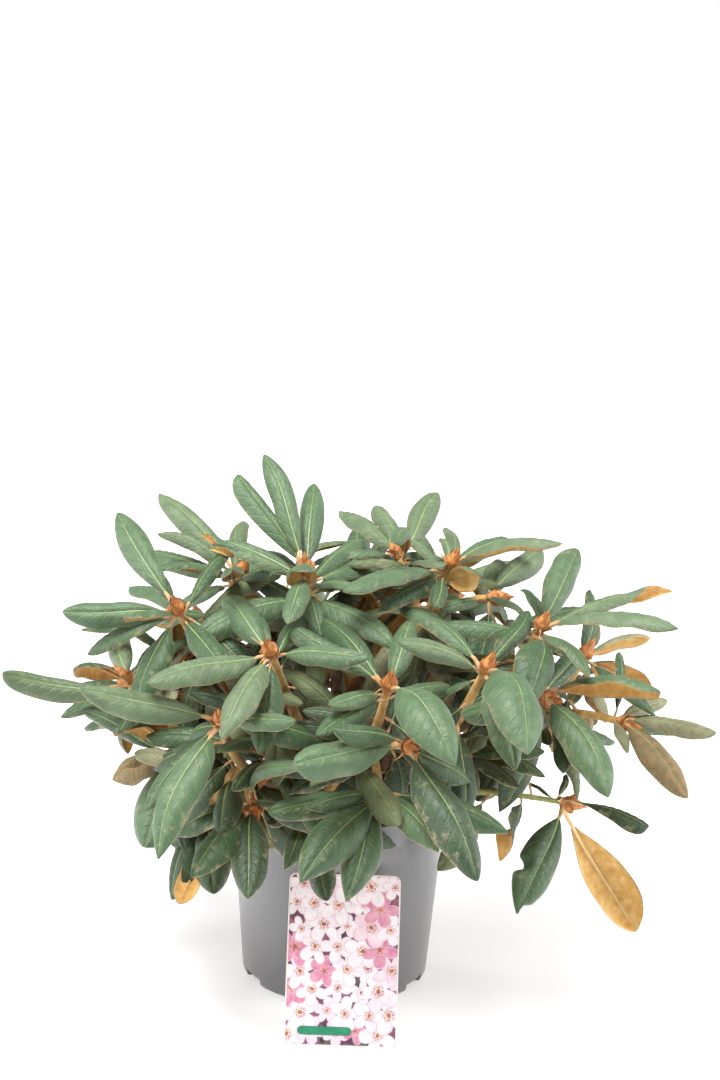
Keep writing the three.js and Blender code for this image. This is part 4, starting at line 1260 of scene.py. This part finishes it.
def plain_leaf(leaf, start=0.0, swell=0.0):
    """The source's faceted leaf, or with a start its blade alone, made fatter by swell."""
    axes = leaf_axes(leaf)
    half = leaf["width"] * leaf["length"] / 2 + swell
    thick = LEAF_THICKNESS + 2 * swell
    stalk = PETIOLE_WIDTH / 2 + swell
    rings = [plain_ring(leaf, axes, BLADE_START, BLADE_FOOT * stalk, thick)]
    if start == 0:
        rings.insert(0, [leaf["root"] - axes[0] * ROOT_DEPTH])
    for t, share in FULL_RINGS if leaf["shown"] else [[WIDEST_RING, 1]]:
        rings.append(plain_ring(leaf, axes, t, share * half, thick))
    rings.append([midrib_point(leaf, axes, 1)])
    return Solid(*skinned(rings))


def plain_twig(shoot):
    centres = shoot["twig"].point(np.linspace(0, 1, 4))
    rings = list(tube_points(centres, np.linspace(shoot["radius"], TWIG_TIP_RADIUS, 4), 3))
    belly = (rings[-1] - shoot["bud"]) * BUD_RADIUS / TWIG_TIP_RADIUS + shoot["bud"]
    rings += [belly + shoot["axis"] * BUD_BELLY, [shoot["bud"] + shoot["axis"] * BUD_LENGTH]]
    return Solid(*skinned(rings))


def cad_solid(node):
    """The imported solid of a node, in mm."""
    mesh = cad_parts[node].data
    points = [tuple(c / MM for c in vertex.co) for vertex in mesh.vertices]
    return Solid(points, [tuple(face.vertices) for face in mesh.polygons])


# ---------------------------------------------------------------- growing the crown

placed = []  # every body so far: its node, its shoot if it has one, and a leaf's blade apart
grown = []  # every leaf that found room


def remember(node, shoot, body, blade=None):
    placed.append((node, shoot, body, blade))


def is_free(leaf, node, shoot):
    """True where a blade is clear of all but its own twig, and its petiole of other nodes."""
    blade, whole = plain_leaf(leaf, BLADE_START, GAP), plain_leaf(leaf, 0, GAP)
    for other_node, other_shoot, body, other_blade in placed:
        if other_node != node:
            if blade.touches(body) or whole.touches(body):
                return False
            continue
        nearby = other_blade if other_shoot is shoot else other_blade or body
        if nearby is not None and blade.touches(nearby):
            return False
    return True


def grow_leaf(leaf, shoot, turns):
    """Tries the leaf where it should be and then in turns nearby, and grows it if one is free."""
    for heading, rise in turns:
        turned = {**leaf, "heading": leaf["heading"] + heading, "rise": leaf["rise"] + rise}
        if is_free(turned, shoot["node"], shoot):
            remember(shoot["node"], shoot, plain_leaf(turned), plain_leaf(turned, BLADE_START))
            shoot["leaves"] += 1
            grown.append({**turned, "node": shoot["node"]})
            return


def grow_shoots(curves):
    """Each mass's twigs: the first goes on from the bough's tip and the others branch from it."""
    shoots = []
    for index, (node, (bough, plans)) in enumerate(MASSES.items()):
        leader = None
        for k, (bud, count, shown) in enumerate(plans):
            place = np.array(bud, float)
            fork = FIRST_FORK + FORK_STEP * k
            toward = leader.tangent(fork) if leader else curves[bough].tangent(1)
            start = leader.point(fork) if leader else curves[bough].point(1) + toward * GAP
            bend = start + toward * TWIG_BEND * np.linalg.norm(place - start)
            twig = Curve(start, bend, place)
            axis = twig.tangent(1)
            side = unit(np.cross(axis, [0.9, 0.4, 0]))
            shoot = {"node": node, "seed": 1000 * (index + 1) + 100 * k, "twig": twig, "bud": place,
                     "axis": axis, "side": side, "out": np.cross(side, axis), "leaves": 0,
                     "count": count, "shown": shown,
                     "radius": SIDE_TWIG_RADIUS if leader else LEADER_RADIUS}
            remember(node, shoot, plain_twig(shoot))
            shoots.append(shoot)
            leader = leader or twig
    return shoots


def width_at(rise):
    return LEAF_WIDTH - RISE_NARROWING * rise


def grow_shown_leaves(shoot):
    """The leaves that stand out, each one a step lower on the twig than the last."""
    for k, (heading, rise, length, *oddities) in enumerate(shoot["shown"]):
        seed = shoot["seed"] + k
        leaf = {"root": shoot["bud"] - shoot["axis"] * LEAF_STEP * k, "heading": heading, "rise": rise,
                "length": length, "roll": 0, "arch": between(SHOWN_ARCHES, seeded(seed)()),
                "width": width_at(rise), "shown": length > FULL_LEAF, "seed": seed, "old": 0}
        leaf.update(*oddities)
        grow_leaf(leaf, shoot, SMALL_TURNS)


def whorl_leaf(shoot, k, root, seed, lengths, lifts, old):
    """A leaf a golden angle on from the last, spread round the twig and drooping."""
    draw = seeded(seed)
    length = between(lengths, draw())
    lift = math.radians(between(lifts, draw()))
    turn = math.radians(GOLDEN_ANGLE * k) + shoot["start"]
    away = shoot["side"] * math.cos(turn) + shoot["out"] * math.sin(turn)
    along = unit(away * math.cos(lift) + shoot["axis"] * math.sin(lift) - np.array([0, 0, DROOP]))
    rise = min(STEEPEST, math.degrees(math.asin(along[2])))
    return {"root": root, "heading": math.degrees(math.atan2(along[1], along[0])), "rise": rise,
            "length": length, "roll": 0, "arch": between(WHORL_ARCHES, draw()), "width": width_at(rise),
            "shown": False, "seed": seed, "old": old}


def grow_whorl(shoot):
    """Leaves all round the bud, until the shoot has its count."""
    shoot["start"] = 2 * math.pi * seeded(shoot["seed"] + START_SEED)()
    for k in range(2 * shoot["count"]):
        if shoot["leaves"] >= shoot["count"]:
            break
        root = shoot["bud"] - shoot["axis"] * LEAF_STEP * (k % WHORL_STEPS)
        leaf = whorl_leaf(shoot, k, root, shoot["seed"] + WHORL_SEED + k, WHORL_LENGTHS, WHORL_LIFTS, 0)
        grow_leaf(leaf, shoot, WIDE_TURNS)


def grow_old_leaves(shoot):
    """Last year's leaves, lower on the twig and hanging, wherever the crown still has room."""
    for k in range(OLD_LEAVES):
        root = shoot["twig"].point(between(OLD_PLACES, k / OLD_LEAVES))
        leaf = whorl_leaf(shoot, k, root, shoot["seed"] + OLD_SEED + k, OLD_LENGTHS, OLD_LIFTS, 1)
        grow_leaf(leaf, shoot, WIDE_TURNS)


# ---------------------------------------------------------------- the leaves in full detail


def habit_of(leaf):
    """How one leaf departs from the plain form: rising leaves are blunt, hanging ones pointed."""
    draw = np.random.default_rng(leaf["seed"])
    old = leaf["old"]
    hangs = float(smooth_step(12, -12, leaf["rise"]))
    bends = 0 if leaf["shown"] else float(smooth_step(22, 40, leaf["rise"]))
    return {
        "foot": draw.uniform(0.78, 1.02),  # how slowly it widens from its foot
        "tip": draw.uniform(0.5, 0.8) + 0.18 * hangs,  # and narrows to its tip
        "full": draw.uniform(1.2, 1.6) - 0.1 * hangs,  # how far its sides run side by side
        "snake": draw.uniform(-0.018, 0.018),  # how its midrib winds
        "ripple": draw.uniform(0.01, 0.055),  # and its outline
        "droop": draw.uniform(-0.01, 0.05) + 0.05 * old + 0.24 * bends,
        "sway": draw.uniform(-0.07, 0.07),
        "twist": math.radians(draw.uniform(-16, 16)),
        "curl": draw.uniform(0.75, 1.3) + 0.1 * old,  # how its sides roll down
        "wave": draw.uniform(0.02, 0.12) * (1 + 1.2 * old),
        "beats": draw.uniform(1.2, 2.8, 2),  # waves along each side
        "phases": draw.uniform(0, 2 * math.pi, 2),
        "veins": int(draw.integers(9, 12)),
        "relief": draw.uniform(0.35, 0.75),
        "flip": 0.0,  # radians that its tip turns over
        "flip_span": (0.66, 0.9),
        "bites": [],  # sides, places along, reaches and depths of what is gone from its edge
        "tint": draw.uniform(0, 1),
        "roof": draw.uniform(0.18, 0.5),  # how its halves slope from the midrib
        "girth": 1 - 0.16 * draw.uniform(0, 1) * (1 - hangs),
        **ODD_HABITS.get(leaf["seed"], {}),
    }


def vein_number(leaf, share, width):
    """Counts the side veins along a blade: whole numbers lie on a vein, which slants to the tip."""
    return leaf["habit"]["veins"] * (share - 0.1 * width - 0.06 * width ** 3)


def spine(leaf, s):
    """The midrib's line at a column of shares along a blade, with the directions across and up."""
    habit = leaf["habit"]
    along, face, across = leaf["axes"]
    t = BLADE_START + (1 - BLADE_START) * s
    bow = np.clip((t - 0.5) / 0.5, 0, 1)
    rise = 4 * t * (1 - t) * leaf["arch"] - habit["droop"] * bow ** 2
    climb = 4 * (1 - 2 * t) * leaf["arch"] - 4 * habit["droop"] * bow
    drift = habit["sway"] * t * t + habit["snake"] * np.sin(2 * math.pi * t)
    lean = 2 * habit["sway"] * t + habit["snake"] * 2 * math.pi * np.cos(2 * math.pi * t)
    ahead = unit(along + face * climb + across * lean)
    line = leaf["root"] + leaf["length"] * (along * t + face * rise + across * drift)
    up = unit(np.cross(across, ahead))
    flat = np.cross(ahead, up)
    turn = habit["twist"] * np.clip(s, 0, 1) + habit["flip"] * smooth_step(*habit["flip_span"], s)
    return line, flat * np.cos(turn) + up * np.sin(turn), up * np.cos(turn) - flat * np.sin(turn)


def half_width(leaf, s):
    """Half of a blade's width at a column of shares along it."""
    habit, inside = leaf["habit"], np.clip(s, 0, 1)
    foot, tip = habit["foot"], habit["tip"]
    peak = foot / (foot + tip)
    form = inside ** foot * (1 - inside) ** tip / (peak ** foot * (1 - peak) ** tip)
    fullness = 1 - np.clip(1 - form, 0, 1) ** habit["full"]
    return habit["girth"] * leaf["width"] * leaf["length"] / 2 * fullness


def cross_section(leaf, s, v, half):
    """How far each lane is across and up from the midrib: rolled down, quilted and wavy."""
    habit = leaf["habit"]
    c, w = habit["curl"], np.abs(v)
    swing = 2 * math.pi * np.where(v < 0, *habit["beats"]) * s + np.where(v < 0, *habit["phases"])
    x = half * (v - np.sign(v) * c * c * w ** 5 / 10) / (1 - c * c / 10)
    x = x * (1 + habit["ripple"] * np.cos(swing))
    for side, place, reach, depth in habit["bites"]:
        x = x * (1 - depth * np.exp(-((s - place) / reach) ** 4) * (v * side > 0))
    z = -half * (c * w ** 3 / 3 - c ** 3 * w ** 7 / 42)
    z = z + half * (PILLOW * w * (1 - w) + w * w * (habit["wave"] * np.sin(swing) - habit["roof"]))
    quilt = -0.5 * np.cos(2 * math.pi * vein_number(leaf, s, w))
    between_ribs = smooth_step(*QUILTED[0], w) * (1 - smooth_step(*QUILTED[1], w))
    z = z + habit["relief"] * quilt * between_ribs * np.clip(half / 6, 0, 1)
    groove, reach = MIDRIB_GROOVE
    return x, z - groove * bump_at(x, reach) * np.clip(half / 4, 0, 1)


def blade(leaf, share, lane, sink=0.0):
    """Points of a leaf at shares along its blade and lanes across it, sunk below its upper face.

    share is a row of numbers, lane a row or a full table from -1 to 1, and sink a depth in mm. A share
    below 0 is on the petiole. Also gives the directions across and up at each share.
    """
    s = np.asarray(share, float).reshape(-1, 1)
    v = np.asarray(lane, float) * np.ones_like(s)
    line, flat, up = spine(leaf, s)
    x, z = cross_section(leaf, s, v, half_width(leaf, s))
    return line[:, None] + x[..., None] * flat[:, None] + (z - sink)[..., None] * up[:, None], flat, up


def spaced(count, low=LEAF_ENDS[0], high=LEAF_ENDS[1]):
    """Shares along a blade, closer together at its two ends."""
    even = np.linspace(0, 1, count)
    eased = 0.45 * even + 0.55 * (0.5 - 0.5 * np.cos(math.pi * even))
    return low + (high - low) * eased


def moved_out(edges, flat, reach):
    """A blade's two edges, moved away from each other by twice this reach."""
    return edges + flat[:, None] * np.array([-reach, reach])[None, :, None]


def rolled_edge(leaf, share):
    """Where the green of each edge ends and the felt starts, a little beyond the blade and below it."""
    edges, flat, _ = blade(leaf, share, [-1, 1], GREEN_EDGE)
    return moved_out(edges, flat, FELT_RIM)


def add_face(batch, leaf, share):
    """The green upper face, down to its rolled edges."""
    face, _, _ = blade(leaf, share, TOP_LANES)
    edge = rolled_edge(leaf, share)
    lanes = np.ones((len(share), 1)) * [-1, *TOP_LANES, 1]
    face = np.concatenate([edge[:, :1], face, edge[:, 1:]], 1)
    batch.grid(face, chart=np.stack([vein_number(leaf, share[:, None], np.abs(lanes)), lanes], -1))


def add_felt(batch, leaf, share):
    """The felt underside, up to where the green starts."""
    felt, flat, _ = blade(leaf, share, UNDER_LANES, BLADE_THICKNESS)
    rim = rolled_edge(leaf, share)
    low = moved_out(felt[:, [0, -1]], flat, FELT_INSET)
    sheet = np.concatenate([rim[:, :1], low[:, :1], felt[:, 1:-1], low[:, 1:], rim[:, 1:]], 1)
    batch.grid(sheet, flip=True)


def add_midrib(batch, leaf):
    """The thin pale strip along the face."""
    share = spaced(28, 0, MIDRIB_END)
    half = half_width(leaf, share[:, None])
    width = np.interp(share, [0, 1], MIDRIB_WIDTH)[:, None] / 2
    lanes = np.clip(width / np.maximum(half, 0.5), 0, 0.9) * np.array([[-1, 0, 1]])
    batch.grid(blade(leaf, share, lanes, np.array(MIDRIB_SINKS))[0])


def add_stalk(batch, leaf):
    """The petiole, which goes on as the rib under the leaf."""
    share = np.concatenate([[-0.2, -0.15, -0.1, -0.05], spaced(15, 0, STALK_END)])
    radius = np.interp(share, *zip(*STALK_RADII)) * leaf["length"] / STALK_LEAF
    sink = ((radius + 0.15) * np.clip(share / 0.05, 0, 1))[:, None]
    middle, flat, up = blade(leaf, share, [0], sink)
    turn = round_turns(STALK_SIDES)[None, :, None]
    ring = np.cos(turn) * flat[:, None] + np.sin(turn) * up[:, None]
    batch.grid(middle + ring * radius[:, None, None], closed=True)


def tint_of(leaf):
    """Which tint a leaf takes: paler where it is new, high and out, darker low and inside; besides the
    leaves' age, this paints the crown's light and shade into their colour.
    """
    luck = leaf["habit"]["tint"]
    if leaf["old"]:
        return next(tint for least, tint in OLD_TINT_STEPS if luck > least)
    for tint, seeds in ODD_TINTS.items():
        if leaf["seed"] in seeds:
            return tint
    if leaf["node"] == DUSTY_MASS and luck > DUSTY_LUCK:
        return "dusty"
    tip = leaf["root"] + direction(leaf["heading"], leaf["rise"]) * leaf["length"] * 0.6
    outward = math.hypot(tip[0], tip[1]) / CROWN_RADIUS
    # painted light and shade: higher, further-out leaves take paler tints, lower and inner ones darker
    light = np.dot(LIGHT_SHARES, [(tip[2] - LIGHT_FROM) / LIGHT_OVER, outward, luck - 0.5])
    if luck > OLIVE_LUCK and light < OLIVE_LIGHT:
        return "olive"
    return next(tint for least, tint in TINT_STEPS if light > least)


def make_foliage(stalk_material):
    """Every leaf, its parts gathered by their kind."""
    tops = {tint: Batch() for tint in LEAF_TINTS}
    felts = {name: Batch() for name in FELT_TINTS}
    midribs, stalks, pale = Batch(), Batch(), Batch()
    for leaf in grown:
        leaf["axes"], leaf["habit"] = leaf_axes(leaf), habit_of(leaf)
        top_share, under_share = (spaced(rows[leaf["shown"]]) for rows in (TOP_ROWS, UNDER_ROWS))
        add_face(tops[tint_of(leaf)], leaf, top_share)
        felt = "straw" if leaf["habit"]["relief"] > STRAW_RELIEF else "copper"
        add_felt(felts[felt], leaf, top_share if leaf["habit"]["bites"] else under_share)
        add_midrib(midribs, leaf)
        add_stalk(pale if leaf["seed"] in PALE_RIBS else stalks, leaf)
    for tint, batch in tops.items():
        batch.made(f"leaf_tops_{tint}", leaf_finish(tint, *LEAF_TINTS[tint]), "foliage", FOLIAGE)
    for name, batch in felts.items():
        batch.made(f"leaf_felt_{name}", felt_finish(name), "underside", FOLIAGE)
    midribs.made("leaf_midribs", midrib_finish(), "foliage", FOLIAGE)
    stalks.made("leaf_stalks", stalk_material, "underside", FOLIAGE)
    pale.made("leaf_stalks_pale", pale_stalk_finish(), "underside", FOLIAGE)


# ---------------------------------------------------------------- camera, floor and light


def make_camera():
    data = bpy.data.cameras.new("camera")
    data.sensor_width = SENSOR
    data.lens = FOCAL_PIXELS / max(PHOTO_WIDTH, PHOTO_HEIGHT) * SENSOR
    data.clip_start, data.clip_end = 0.05, 100
    camera = linked("camera", data)
    ahead = np.array([0, math.cos(CAMERA_PITCH), -math.sin(CAMERA_PITCH)])
    level = np.array([1.0, 0, 0])
    over = np.cross(level, ahead)
    right = level * math.cos(CAMERA_ROLL) + over * math.sin(CAMERA_ROLL)
    up = over * math.cos(CAMERA_ROLL) - level * math.sin(CAMERA_ROLL)
    aim(camera, right, up, -ahead, np.array(CAMERA_PLACE) * MM)
    bpy.context.scene.camera = camera


def make_floor():
    batch = Batch()
    batch.grid(round_points(np.array(FLOOR_RADII)[:, None] / MM, round_turns(64), FLOOR_DROP), closed=True)
    floor = linked("floor", batch.mesh("floor"))
    floor.data.materials.append(floor_finish())


def area_light(name, place, target, size, power):
    data = bpy.data.lights.new(name, "AREA")
    data.size, data.energy = size, power
    back = unit(np.array(place) - np.array(target))
    right = unit(np.cross([0, 0, 1], back))
    aim(linked(name, data), right, np.cross(back, right), back, place)


def make_light():
    scene = bpy.context.scene
    scene.world = bpy.data.worlds.new("studio")
    scene.world.use_nodes = True
    glow = scene.world.node_tree.nodes["Background"]
    glow.inputs["Color"].default_value = (1, 1, 1, 1)
    glow.inputs["Strength"].default_value = WORLD_GLOW
    scene.view_settings.view_transform = "Standard"
    scene.view_settings.look = "None"
    for name, light in LIGHTS.items():
        area_light(name, **light)


# ---------------------------------------------------------------- putting it together

make_camera()
make_floor()
make_light()
make_pot()
make_soil()
make_crumbs()
make_tag()
limb_curves = bough_curves()
make_limbs(limb_curves)
for node in ["trunk", *BOUGHS, "pot", "soil", "picture_tag"]:
    remember(node, None, cad_solid(node))
all_shoots = grow_shoots(limb_curves)
for step in (grow_shown_leaves, grow_whorl, grow_old_leaves):
    for shoot in all_shoots:
        step(shoot)
stalk_felt = stalk_finish()
make_foliage(stalk_felt)
make_twigs_and_buds(all_shoots, stalk_felt)

print("leaves", len(grown), "old", sum(leaf["old"] for leaf in grown))
